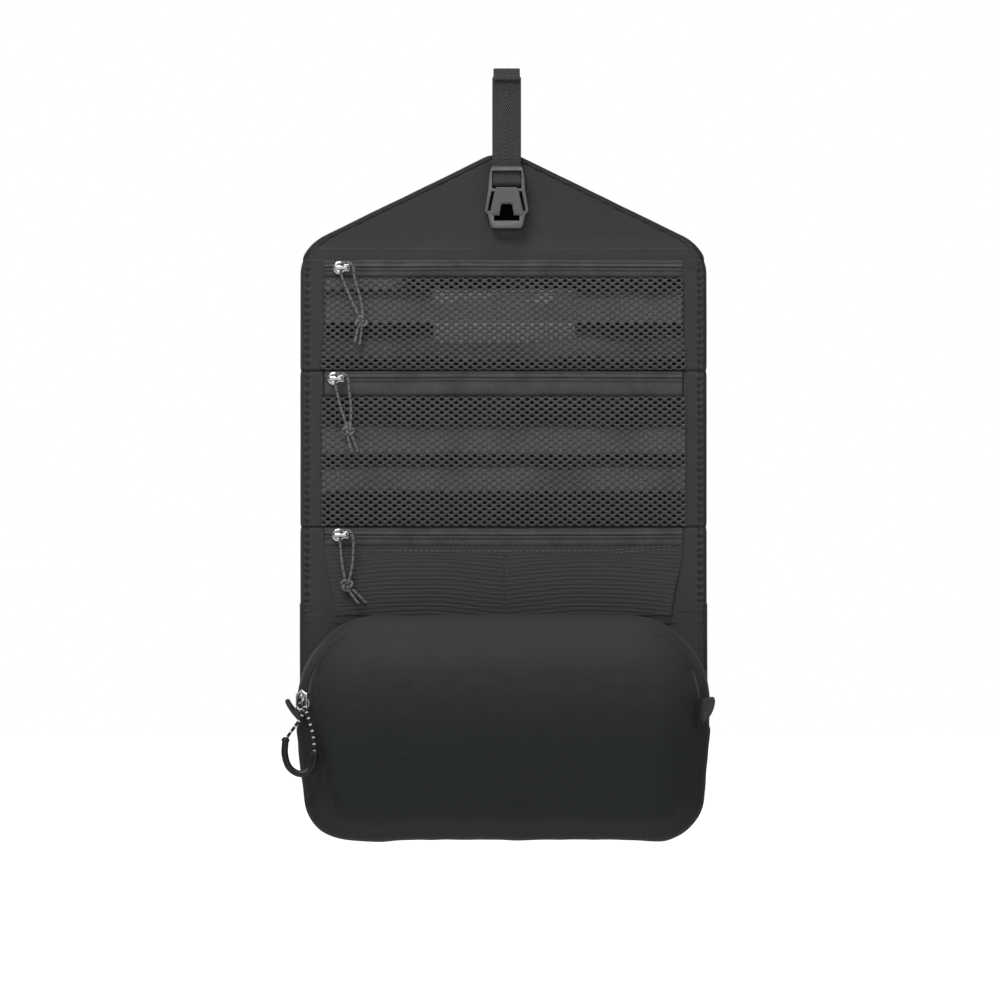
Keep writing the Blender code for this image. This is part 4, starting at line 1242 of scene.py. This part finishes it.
def front_relief(x, z):
    """How far the front panel's face lies in front of its rim's plane, in millimetres."""
    belly = 3.6 - 8.5 * ((z + 436) / 72) ** 2 - 2.2 * (x / 118) ** 4
    folds = 0.55 * ripple(x, z, 36, 22.0) + 0.28 * ripple(x, 1.7 * z, 14, 23.0)
    for along, across, long, deep in crease_places(LEFT_CREASES + SOFT_CREASES, x, z):
        folds -= deep * hump(along, long) * hump(across, 2.4)
        folds += 0.6 * deep * hump(along, long) * hump(across - 4.5, 3.0)
    return belly + folds


def build_pouch_front():
    """The front gusset and panel as one piece."""
    upper = spread_profile([(-37.8, 9.5), (-38.5, 9.3), (-40.6, 10.7), (-44.2, 13.4), (-48.8, 17.2),
                            (-52.8, 22.6), (-55.1, 28.5), (FRONT_Y, FRONT_INSET)], 4)
    lower = spread_profile([(-20.0, 1.0), (-23.0, -0.3), (-30.0, 1.4), (-38.0, 7.6), (-45.5, 13.6),
                            (-51.5, 20.5), (-54.8, 27.5), (FRONT_Y, FRONT_INSET)], 4)
    crown = spread_profile([(-38.6, 4.2), (-39.4, 4.3), (-41.4, 6.4), (-44.6, 10.0), (-48.9, 15.8),
                            (-52.8, 22.0), (-55.1, 28.3), (FRONT_Y, FRONT_INSET)], 4)
    rows = []
    for (depth, inset), (low_depth, low_inset), (top_depth, top_inset) in zip(upper, lower, crown):
        row = []
        for (x, z), (low_x, low_z), (top_x, top_z) in zip(*map(pouch_ring, (inset, low_inset, top_inset))):
            low, high = step(*LOW_TURN, z), step(*CROWN, z)
            parts = ((depth, low_depth, top_depth), (x, low_x, top_x), (z, low_z, top_z),
                     (inset, low_inset, top_inset))
            y, x, z, level = (lerp(lerp(mid, below, low), above, high) for mid, below, above in parts)
            swell = lerp(pouch_swell(x, z, y) + 0.35 * low, 0.5 * ripple(x, z, 26, 25.0), step(10, 24, level))
            swell -= 0.4 * hump(inset - 11.6, 0.5) * (1 - low) * (1 - high)
            y -= step(14, 40, level) * front_relief(x, z)
            row.append(Vector((x, y, z - sag(x, z))) + outward(x, z) * swell)
        rows.append(row)
    rim = pouch_ring(FRONT_INSET)
    count = 44
    for k in range(1, count):
        share = 1 - k / count
        row = []
        for x, z in rim:
            px = x * share
            pz = POUCH_MIDDLE.z + (z - POUCH_MIDDLE.z) * share
            weight = lerp(step(14, 40, FRONT_INSET), 1.0, step(0, 0.25, 1 - share))
            swell = 0.5 * ripple(x, z, 26, 25.0) * step(0.8, 1.0, share)
            point = Vector((px, FRONT_Y - weight * front_relief(px, pz) + 0.3 * ripple(px, pz, 9, 24.0), pz))
            row.append(point + outward(px, pz) * swell)
        rows.append(row)
    piece = grid_mesh("pouch_front", rows, "pouch", wrap=True)

    def close(bm):
        """Fans the innermost ring in to the middle."""
        bm.verts.ensure_lookup_table()
        ring = list(bm.verts)[-len(rows[0]):]
        middle = bm.verts.new((0, (FRONT_Y - front_relief(0, POUCH_MIDDLE.z)) * MM, POUCH_MIDDLE.z * MM))
        for k, vert in enumerate(ring):
            bm.faces.new((vert, ring[(k + 1) % len(ring)], middle)).smooth = True

    reshape(piece, close)
    thicken(piece, 0.8, second="lining")
    mark(piece, "edge", crease_shade)
    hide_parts("pouch_gusset_front", "pouch_front_upper", "pouch_front_lower")
    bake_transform(piece)

    route = []
    for share in spaced(0.03, 0.97, 499):
        high = step(*CROWN, zip_point(11.2, share)[1])
        x, z = zip_point(lerp(11.2, 7.4, high), share)
        y = lerp(-41.1, -42.5, high) + 0.3 * ripple(x, z, 9, 24.0)
        route.append(Vector((x, y, z)) + outward(x, z) * (0.1 + 0.9 * high))
    seam = stitches("hood_topstitch", [route], 3.0, 2.0, "thread", None, "shell_fabric", 0.26)
    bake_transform(seam)


def build_pouch_sides():
    gusset = spread_profile([(-1.2, 3.6), (-3.0, 2.2), (-9.0, 0.8), (-16.0, 0.0), (-28.0, 1.2),
                             (-33.6, 4.0), (-36.1, 7.0)], 4)
    side = thicken(grid_mesh("pouch_gusset", pouch_rows(gusset), "pouch", wrap=True), 0.9, second="lining")
    finish_piece(side, "pouch", "shell_fabric", "pouch_gusset_rear", "pouch_gusset_lower")

    band = spread_profile([(-35.6, 6.9), (-37.0, 8.2), (-38.9, 9.9)], 4)
    keep = RING_STEPS["bottom"] + RING_STEPS["low_corner"] + RING_STEPS["low_side"] + 8
    rows = [row[-keep:] + row[:keep + 1] for row in pouch_rows(band)]
    low = thicken(grid_mesh("pouch_low_band", rows, "pouch"), 0.9, second="lining")
    finish_piece(low, "pouch", "shell_fabric")


def build_main_zip():
    """Two tapes with half of the coil's bulge each, on the slant between the two gussets."""
    columns, half_wide, way = 1500, 4.6, 720
    offs = [0.04, 0.3, 0.5, 0.8, 1.2, 1.6, 2.0, 2.4, 2.8, 3.1, 3.6, half_wide]
    face_in, face_y = math.cos(ZIP_SLANT), math.sin(ZIP_SLANT)

    def at(off, s):
        share = (off + half_wide) / (2 * half_wide)
        depth, inset = lerp(-34.3, -40.0, share), lerp(5.3, 12.5, share)
        proud = 0.8 * zip_relief(off, s * way) - 0.3
        x, z = zip_point(inset - proud * face_in, s)
        return Vector((x, depth - proud * face_y, z))

    def half(name, offs, body, *nodes):
        rows = [[at(off, k / columns) for k in range(columns + 1)] for off in offs]
        return finish_piece(thicken(grid_mesh(name, rows, "tape"), 0.7), body, "zip_tape", *nodes)

    mirrored = [-off for off in reversed(offs)]
    half("main_zip_rear_half", mirrored, "pouch", "main_zip_tape_rear", "main_zip_coil")
    front = half("main_zip_front_half", offs, None, "main_zip_tape_front")
    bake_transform(front)


def build_pouch_back():
    low_r, centre_x, centre_z = 40.0, 98.45, -486.4
    top_z, low_z = FOLD_Z["pouch"] - FOLD_GAP, BOTTOM_Z

    def half(z):
        if z > -460:
            return PANEL_HALF
        if z > centre_z + 3.6:
            return PANEL_HALF - 6 * (-460 - z) / 66.4
        return centre_x + math.sqrt(max(0.0, low_r**2 - (z - centre_z) ** 2))

    def front(v, u):
        z = lerp(top_z, low_z + 0.02, 1 - (1 - v) ** 1.25)
        x = (2 * u - 1) * half(z)
        edge = half(z) - abs(x)
        raised = lerp(LINING_FRONT + 0.1, OVER_FOLD, step(-445, -425, z))
        pucker = math.sin(z * 1.25 + 3.0 * ripple(x, z, 14, 8.0))
        raised += (0.5 + 0.4 * pucker) * hump(edge - 3.7, 1.4) + 0.7 * hump(edge, 0.7)
        return x, raised, z

    def thick(v, u):
        x, y, z = front(v, u)
        edge = min(half(z) - abs(x), z - low_z)
        relief = 0.5 * ripple(x, z, 44, 27.0) - 0.5 * hump(edge - BACK_SEAM, 0.9)
        return PANEL_BACK - y + relief

    piece = slab("pouch_back", 110, 190, front, thick, ("border", "shell"))
    mark(piece, "edge", lambda x, z: edge_shade(half(z) - abs(x), 0.5 + math.sin(1.25 * z)))
    finish_piece(piece, "pouch", "shell_fabric", "pouch_shell", "pouch_lining")


build_pouch_back()
build_pouch_sides()
build_main_zip()
build_pouch_front()


# ---- webbing, buckle and plug --------------------------------------------------------------------
STRAP_X = sum(c.x for c in node_box("strap_tail")) / 2
WEBBING = 1.2


def arc(centre, radius, start, end, steps):
    """Points round a centre, from one angle to another in degrees."""
    turns = [math.radians(angle) for angle in spaced(start, end, steps)]
    return [(centre[0] + radius * math.cos(turn), centre[1] + radius * math.sin(turn)) for turn in turns]


def resample(path, spacing):
    """The same path (y, z) with its points evenly spaced."""
    route = [Vector(p) for p in path]
    runs = run_lengths(route)
    count = max(2, round(runs[-1] / spacing))
    fine, k = [], 0
    for n in range(count + 1):
        run = runs[-1] * n / count
        while k < len(route) - 2 and runs[k + 1] < run:
            k += 1
        fine.append(route[k].lerp(route[k + 1], (run - runs[k]) / (runs[k + 1] - runs[k])))
    return fine


def webbing(name, path, width):
    """Herringbone webbing along a path (y, z), with thin, wavy selvedges."""
    route = resample(path, 0.42)
    across = 52
    points, offs, runs = [], [], []
    for i, (here, run) in enumerate(zip(route, run_lengths(route))):
        ahead = heading(route, i)
        out = Vector((ahead.y, -ahead.x))
        half = width / 2 * (1 - 0.08 * step(5.0, 6.2, here.y))
        for side in (1, -1):
            for k in range(across + 1):
                u = (k / across if side > 0 else 1 - k / across) * 2 - 1
                offs.append(abs(u) * half)
                runs.append(run)
                edge = step(1.0, 0.94, abs(u))
                selvedge = 0.10 * math.sin(2 * math.pi * run / 1.1) * (1 - edge)
                lift = WEBBING / 2 * (0.45 + 0.55 * edge)
                p = here + out * lift * side
                points.append(Vector((STRAP_X + u * half + math.copysign(selvedge, u), p.x, p.y)))
    ring = 2 * (across + 1)
    faces = ring_faces(len(route), ring)
    for start in (0, (len(route) - 1) * ring):
        for k in range(across):
            a, b = start + k, start + 2 * across + 1 - k
            faces.append((a, a + 1, b - 1, b))
    piece = make(name, points, faces, "webbing")
    store(piece, "off", offs)
    store(piece, "run", runs)
    fix_normals(piece)
    return piece


def box_stitching(name, body, y, high, low):
    """A box with a cross in it, sewn through two layers of webbing."""
    box = [(-8, high), (8, high), (8, low), (-8, low), (-8, high), (8, low)]
    routes = [[(STRAP_X + x, y, z) for x, z in line] for line in (box, [(8, high), (-8, low)])]
    stitches(name, routes, 2.4, 1.9, "thread", body, "webbing", sink=-0.6)


def line_stitching(name, y, z, **thread):
    """One line of stitches straight across the strap."""
    route = [(STRAP_X + x, y, z) for x in (-9, 9)]
    stitches(name, [route], 1.9, 1.4, "thread", "flap", "webbing", **thread)


def build_strap():
    ladder = (-6.0, -67.5)
    path = [(-9.3, 3.9), (-8.9, 5.6), (-8.2, 7.6), (-7.9, 9.6)]
    path += arc((-7.05, 10.55), 0.78, 150, 30, 8)
    path += [(-6.25, 8.0), (-6.3, -40.0), (-6.35, -50.4), (-6.35, -60.2)]
    path += arc(ladder, 2.45, 160, 375, 22)
    path += [(-4.6, -60.5), (-4.62, -50.0), (-4.6, -3.4)]
    path += arc((-0.6, -3.4), 4.0, 176, 4, 22)
    path += [(3.4, -3.4), (3.4, -20.0), (3.3, -47.2)]
    strap = webbing("strap_webbing", path, 20.0)
    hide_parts("strap_loop", "strap_tail", "strap_wrap")
    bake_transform(strap)

    root = webbing("strap_root_webbing", [(3.35, -46.8), (3.2, -52.0), (2.45, -57.0), (2.4, -84.0)], 20.0)
    finish_piece(root, "flap", "webbing", "strap_root")
    box_stitching("strap_root_stitching", "flap", 3.0, -59, -81)
    line_stitching("hem_stitching", -8.5, 5.6, radius=0.2, sink=-2.4)
    line_stitching("strap_bar_stitching", -6.95, -51.8, radius=0.22)


def softened(node, body, width):
    """A buckle's half in its own shape, with its edges rounded."""
    source = bpy.data.objects[node]
    mesh = source.data.copy()
    mesh.transform(source.matrix_world)
    mesh.materials.clear()
    mesh.materials.append(LOOKS["buckle"])
    mesh.polygons.foreach_set("material_index", [0] * len(mesh.polygons))
    piece = link(node + "_moulding", mesh)
    reshape(piece, lambda bm: bmesh.ops.remove_doubles(bm, verts=bm.verts, dist=WELD))
    flat = math.radians(2)
    reshape(piece, lambda bm: bmesh.ops.dissolve_limit(bm, angle_limit=flat, verts=bm.verts, edges=bm.edges))
    round_edges(piece, width, 28)
    mesh.shade_flat()
    apply_modifiers(piece)
    return finish_piece(piece, body, "buckle_plastic", node)


def build_plug_strap():
    centre = (5.3, -452.0)
    path = [(2.4, -424.0), (2.4, -447.0)]
    path += arc(centre, 2.3, 200, 380, 18)
    path += [(4.3, -445.5), (3.9, -443.0), (3.9, -424.0)]
    strap = webbing("plug_strap_webbing", path, 19.4)
    finish_piece(strap, "pouch", "webbing", "plug_strap")
    box_stitching("plug_strap_stitching", "pouch", 4.5, -426, -438)


def build_buckle_depths():
    """The unlit walls inside the socket, seen through its arch and slots."""
    low, high = node_box("buckle_socket")
    half, top, bottom, y = 10.2, high.z - 20.5, low.z + 4.2, high.y - 1.8
    bend = ((-half, 1.4), (-half * 0.8, 0.0), (half * 0.8, 0.0), (half, 1.4))
    points = [(STRAP_X + x, y - bulge, z) for x, bulge in bend for z in (top, bottom)]
    faces = [(0, 1, 3, 2), (2, 3, 5, 4), (4, 5, 7, 6)]
    walls = make("buckle_socket_depths", points, faces, "dark_plastic", smooth=False)
    finish_piece(thicken(walls, 0.3, offset=0.0), "buckle", "buckle_plastic")


def build_buckle_plate():
    """The raised tongue-shaped plate on the socket's front, with an arch for the release tongue."""
    low, high = node_box("buckle_socket")
    side = [(7.2, -14.6), (8.6, -18.5), (11.4, -33.4), (5.6, -33.4), (4.4, -27.0), (3.2, -25.4)]
    outline = side + [(-x, z) for x, z in reversed(side)]
    count = len(outline)
    points = [(STRAP_X + x, low.y + y, high.z + z) for y in (-1.0, 0.3) for x, z in outline]
    faces = [tuple(range(count)), tuple(reversed(range(count, 2 * count)))]
    faces += [(k, (k + 1) % count, count + (k + 1) % count, count + k) for k in range(count)]
    plate = make("buckle_front_plate", points, faces, "buckle", smooth=False)
    fix_normals(plate)
    round_edges(plate, 0.5, 30)
    finish_piece(plate, "buckle", "buckle_plastic")


build_strap()
softened("buckle_socket", "buckle", 0.45)
build_buckle_plate()
build_buckle_depths()
softened("buckle_plug", "pouch", 0.4)
build_plug_strap()


# ---- sliders -------------------------------------------------------------------------------------
BAR_STAND_OFF = 3.9


def slider_outline(share):
    """A slider's plate: round at one end, and a narrow neck with a square nose at the other."""
    round_x, round_r, neck, nose = -1.5, 4.5, 2.5, 6.0
    half = []
    for k in range(24):
        angle = lerp(math.pi, 0.42 * math.pi, k / 23)
        half.append((round_x + round_r * math.cos(angle), round_r * math.sin(angle)))
    start = half[-1]
    for k in range(1, 7):
        half.append((lerp(start[0], 2.6, k / 6), lerp(start[1], neck, step(0, 1, k / 6))))
    half += [(4.0, neck), (5.2, neck + 0.15), (5.7, neck - 0.1), (nose, neck - 0.7), (nose, 0.9)]
    outline = half + [(x, -z) for x, z in reversed(half[1:])]
    return [(x * share, z * share) for x, z in outline]


def build_slider(section, place):
    """Plates in front of the coil and a bridge over them, made with the zip along X."""
    plate = BAR_STAND_OFF
    rows = []
    for y, share in ((plate + 4.2, 0.90), (plate + 3.9, 0.99), (plate + 3.0, 1.0), (plate + 1.0, 1.0),
                     (plate + 0.35, 0.985), (plate + 0.05, 0.93), (plate - 0.12, 0.80),
                     (plate - 0.05, 0.62), (plate + 0.05, 0.4), (plate + 0.08, 0.15)):
        rows.append([Vector((x, y, z)) for x, z in slider_outline(share)])
    points = [p for row in rows for p in row]
    count, base = len(rows[0]), len(points)
    faces = ring_faces(len(rows), count)
    faces += [tuple(range(count)), tuple(reversed(range(base - count, base)))]
    bridge = catmull([(-4.6, plate + 0.3, 0), (-4.7, 1.6, 0), (-4.0, 0.2, 0), (-2.0, -0.1, 0), (2.0, -0.1, 0),
                      (4.0, 0.2, 0), (4.7, 1.6, 0), (4.6, plate + 0.3, 0)], 5)
    ring = 12
    for i, here in enumerate(bridge):
        ahead = heading(bridge, i)
        out = Vector((ahead.y, -ahead.x, 0))
        for k in range(ring):
            angle = 2 * math.pi * k / ring
            points.append(here + out * (0.6 * math.cos(angle)) + Vector((0, 0, 1.25 * math.sin(angle))))
    faces += ring_faces(len(bridge), ring, base)
    faces += [tuple(range(base, base + ring)), tuple(reversed(range(len(points) - ring, len(points))))]
    piece = make(section + "_slider_casting", [place @ p for p in points], faces, "metal")
    fix_normals(piece)
    return finish_piece(piece, section + "_slider", "slider_metal", section + "_zip_slider")


BAR = {}
for section in SECTIONS:
    centre = SLIDER_CENTRE[section]
    bar_y = node_box(section + "_zip_slider")[0].y + 0.6
    BAR[section] = Vector((centre.x, bar_y, centre.z))
    build_slider(section, Matrix.Translation(BAR[section]))

MAIN_BAR = Vector((-140.858, -41.393, -429.4))
GRIP_SHIFT = Vector((2.6, 0.0, 2.4))
zip_out = Vector((-math.cos(ZIP_SLANT), -math.sin(ZIP_SLANT), 0))
zip_along = Vector((0, 0, 1))
main_turn = Matrix((zip_along, -zip_out, zip_along.cross(-zip_out))).transposed().to_4x4()
build_slider("main", Matrix.Translation(MAIN_BAR) @ main_turn)


def build_main_ring():
    """The six-sided ring round the main slider's bar, which guides the pull's cord."""
    corners = [(-7.6, 0), (-4.4, 4.3), (4.4, 4.3), (7.6, 0), (4.4, -4.3), (-4.4, -4.3), (-7.6, 0)]
    path = []
    for (ax, az), (bx, bz) in zip(corners, corners[1:]):
        path += list(zip(spaced(ax, bx, 6), spaced(az, bz, 6)))[:-1]
    route = [MAIN_BAR + main_turn.to_3x3() @ Vector((x, 1.3, z)) for x, z in path + path[:1]]
    ring = tube("main_slider_ring", route, 0.8, "metal", caps=False)
    finish_piece(ring, "main_slider", "slider_metal")


build_main_ring()


# ---- cords ---------------------------------------------------------------------------------------
KNOTS = {
    "upper": {"offset": (13.8, 1.6, -38.0), "tails": ((-4.2, -1.2, -14.6), (-1.0, 1.0, -16.2))},
    "middle": {"offset": (8.6, 1.6, -36.0), "tails": ((2.8, -1.0, -15.6), (6.9, 0.8, -15.2))},
    "lower": {"offset": (4.6, 1.6, -35.0), "tails": ((8.6, -1.0, -13.6), (13.4, 0.8, -12.6))},
}
CORD_RADIUS = 0.9
ROUND_BAR = 2.35


def knot_path(centre, ring, swing, tilt):
    """A trefoil, which is what an overhand knot looks like once it is tight."""
    path = []
    for k in range(73):
        t = 2 * math.pi * k / 72
        r = ring + swing * math.cos(3 * t)
        p = Vector((r * math.cos(2 * t) * 1.05, swing * 0.9 * math.sin(3 * t), r * math.sin(2 * t)))
        path.append(centre + Matrix.Rotation(tilt, 3, "Y") @ p)
    return path


def build_pull(section):
    bar = BAR[section]
    knot = Vector(KNOTS[section]["offset"])
    left, right = knot + Vector((-0.9, 0, 2.9)), knot + Vector((1.5, -0.4, 2.9))
    r = ROUND_BAR
    tails = [Vector(t) for t in KNOTS[section]["tails"]]
    behind = [Vector((0, r, 1.0)), Vector((0, r, -1.5)), Vector((0, r, -5))]
    first = behind + [left.lerp(Vector((0, r, -5)), 0.5) + Vector((-0.6, 0, 0)), left, knot]
    first += [knot + tails[0] * 0.35 + Vector((-0.8, 0, 0)), knot + tails[0]]
    second = [Vector((0, r, 0.9)), Vector((0.3, r * 0.4, 2.6)), Vector((1.2, -r * 0.8, 3.1)),
              Vector((3.2, -r * 1.1, 3.3)), Vector((6.6, -r * 1.1, 2.7)), Vector((8.8, -r * 0.8, -1.0)),
              Vector((9.4, -r * 0.3, -7.0)), right.lerp(Vector((9.4, 0, -7)), 0.45) + Vector((1, 0, 0)),
              right, knot + Vector((0.4, 0, 0))]
    second += [knot + tails[1] * 0.35 + Vector((0.8, 0, 0)), knot + tails[1]]
    lump = tube(section + "_knot", knot_path(bar + knot, 2.5, 1.35, 0.5 + bar.x), 1.0, "cord", caps=False)
    finish_piece(lump, section + "_pull", "pull_cord_grey", section + "_pull_knot")
    for name, route, pieces in (("first", first, [lump]), ("second", second, [])):
        path = catmull([bar + p for p in route], 7)
        leg = tube(f"{section}_pull_{name}_leg", path, CORD_RADIUS, "cord", wobble=0.04)
        finish_piece(leg, section + "_pull", "pull_cord_grey")
        if name == "first":
            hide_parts(section + "_pull_cord")
        run_lengths(path)[-1] * MM
        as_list(pieces)


for section in SECTIONS:
    build_pull(section)


def build_main_pull():
    grip_points = [(-12.4, -6.7, -27.2), (-12.9, -6.9, -30.6), (-13.2, -7.6, -39.0), (-10.6, -8.4, -47.2),
                   (-5.0, -8.8, -51.8), (1.2, -8.9, -52.0), (6.0, -8.8, -47.6), (7.6, -8.6, -40.0),
                   (7.4, -8.5, -36.6)]
    path = catmull([MAIN_BAR + GRIP_SHIFT + Vector(p) for p in grip_points], 9)

    def thickness(t):
        neck = 0.45 * (step(0.03, 0.0, t) + step(0.97, 1.0, t))
        groove = 0.22 * (hump(t - 0.10, 0.007) + hump(t - 0.90, 0.007))
        return 2.35 - neck - groove

    grip = tube("main_grip", path, thickness, "grip", sides=24)
    finish_piece(grip, "main_pull", "grip_rubber", "main_pull_grip")
    collars = {}
    for side, stretch in (("left", path[4:9]), ("right", path[-9:-4])):
        collars[side] = tube(f"main_grip_collar_{side}", stretch,
                             lambda t: 2.62 + 0.28 * math.sin(math.pi * t), "grip", sides=24)
        finish_piece(collars[side], "main_pull", "grip_rubber")
    for n, lean in ((-1, 0.25), (1, -0.2)):
        loop = []
        for k in range(33):
            angle = 2 * math.pi * k / 32
            across, up = math.cos(angle), math.sin(angle)
            local = Vector((n * 1.15 + lean * up, 1.75 * across, 2.35 * up))
            loop.append(MAIN_BAR + main_turn.to_3x3() @ local)
        wrap = tube(f"main_cord_wrap_{'upper' if n > 0 else 'lower'}", loop, 1.05, "flecked", caps=False)
        finish_piece(wrap, "main_pull", "pull_cord_black")
    legs = {
        "left": [(-0.4, -2.2, -1.0), (-0.4, -2.9, -5.5), (-0.8, -3.6, -11.5), (-6.5, -5.6, -20.0),
                 (-12.2, -6.7, -28.2), (-12.9, -7.0, -32.0)],
        "right": [(1.2, -2.0, 0.5), (2.6, -2.0, -6.0), (4.0, -5.0, -14.0), (6.4, -7.6, -26.0),
                  (7.4, -8.5, -36.0), (7.6, -8.6, -40.0)],
    }
    for name, points in legs.items():
        route = catmull([MAIN_BAR + GRIP_SHIFT * step(0, 3, k) + Vector(p) for k, p in enumerate(points)], 8)
        leg = tube(f"main_pull_{name}_leg", route, 1.05, "flecked")
        finish_piece(leg, "main_pull", "pull_cord_black")
        if name == "left":
            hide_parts("main_pull_cord")
        run_lengths(route)[-1] * MM


build_main_pull()


# ---- grab tabs -----------------------------------------------------------------------------------
def build_tab(name, outline, front_y, plies, node):
    """Two plies of fabric folded at their tip. outline lists (x, z) pairs, root edge first."""
    corners = catmull_flat(outline)
    middle = (sum(x for x, z in corners) / len(corners), sum(z for x, z in corners) / len(corners))
    depth = 1.05 * plies
    rows = []
    for depth_share, shrink in ((0.5, 0.0), (0.12, 0.25), (0.0, 0.75), (0.0, 0.93), (0.1, 1.0), (0.34, 1.02),
                                (0.48, 0.96), (0.52, 0.96), (0.66, 1.02), (0.9, 1.0), (1.0, 0.93),
                                (1.0, 0.75), (0.88, 0.25), (0.5, 0.0)):
        row = []
        for x, z in corners:
            px, pz = lerp(middle[0], x, shrink), lerp(middle[1], z, shrink)
            puff = 0.35 * ripple(px, pz, 5, 31.0) * shrink
            row.append(Vector((px, front_y + depth * depth_share + puff, pz)))
        rows.append(row)
    piece = grid_mesh(name, rows, "shell", wrap=True)
    reshape(piece, lambda bm: bmesh.ops.remove_doubles(bm, verts=bm.verts, dist=WELD))
    fix_normals(piece)

    def shade(x, z):
        """Dark at the tab's rim, and where the right tab's root goes under the seam."""
        rim = 0.45 * step(0.6, 1.0, max(abs(x - middle[0]) / 7.5, abs(z - middle[1]) / 10))
        return max(rim, 1.15 * step(139.5, 137.0, x) if x > 0 else 0.0)

    mark(piece, "edge", shade)
    return finish_piece(piece, "pouch", "shell_fabric", node)


def catmull_flat(points):
    closed = points + points[:1]
    return [(p.x, p.y) for p in catmull([(x, z, 0) for x, z in closed], 5)[:-1]]


def build_grab_tabs():
    left = [(-141.4, -436.4), (-141.2, -443.4), (-145.4, -439.8), (-149.4, -434.4), (-151.4, -430.4),
            (-151.0, -428.4), (-148.8, -428.2), (-147.0, -431.0), (-144.6, -434.0)]
    build_tab("grab_tab_left_fold", left, -38.8, 2.6, "grab_tab_left")
    right = [(134.2, -427.8), (140.0, -427.4), (144.8, -426.4), (146.4, -428.0), (146.4, -431.6),
             (144.9, -436.6), (142.0, -441.2), (138.0, -445.0), (134.0, -447.8), (133.6, -438.0)]
    build_tab("grab_tab_right_fold", right, -43.9, 2.6, "grab_tab_right")


build_grab_tabs()
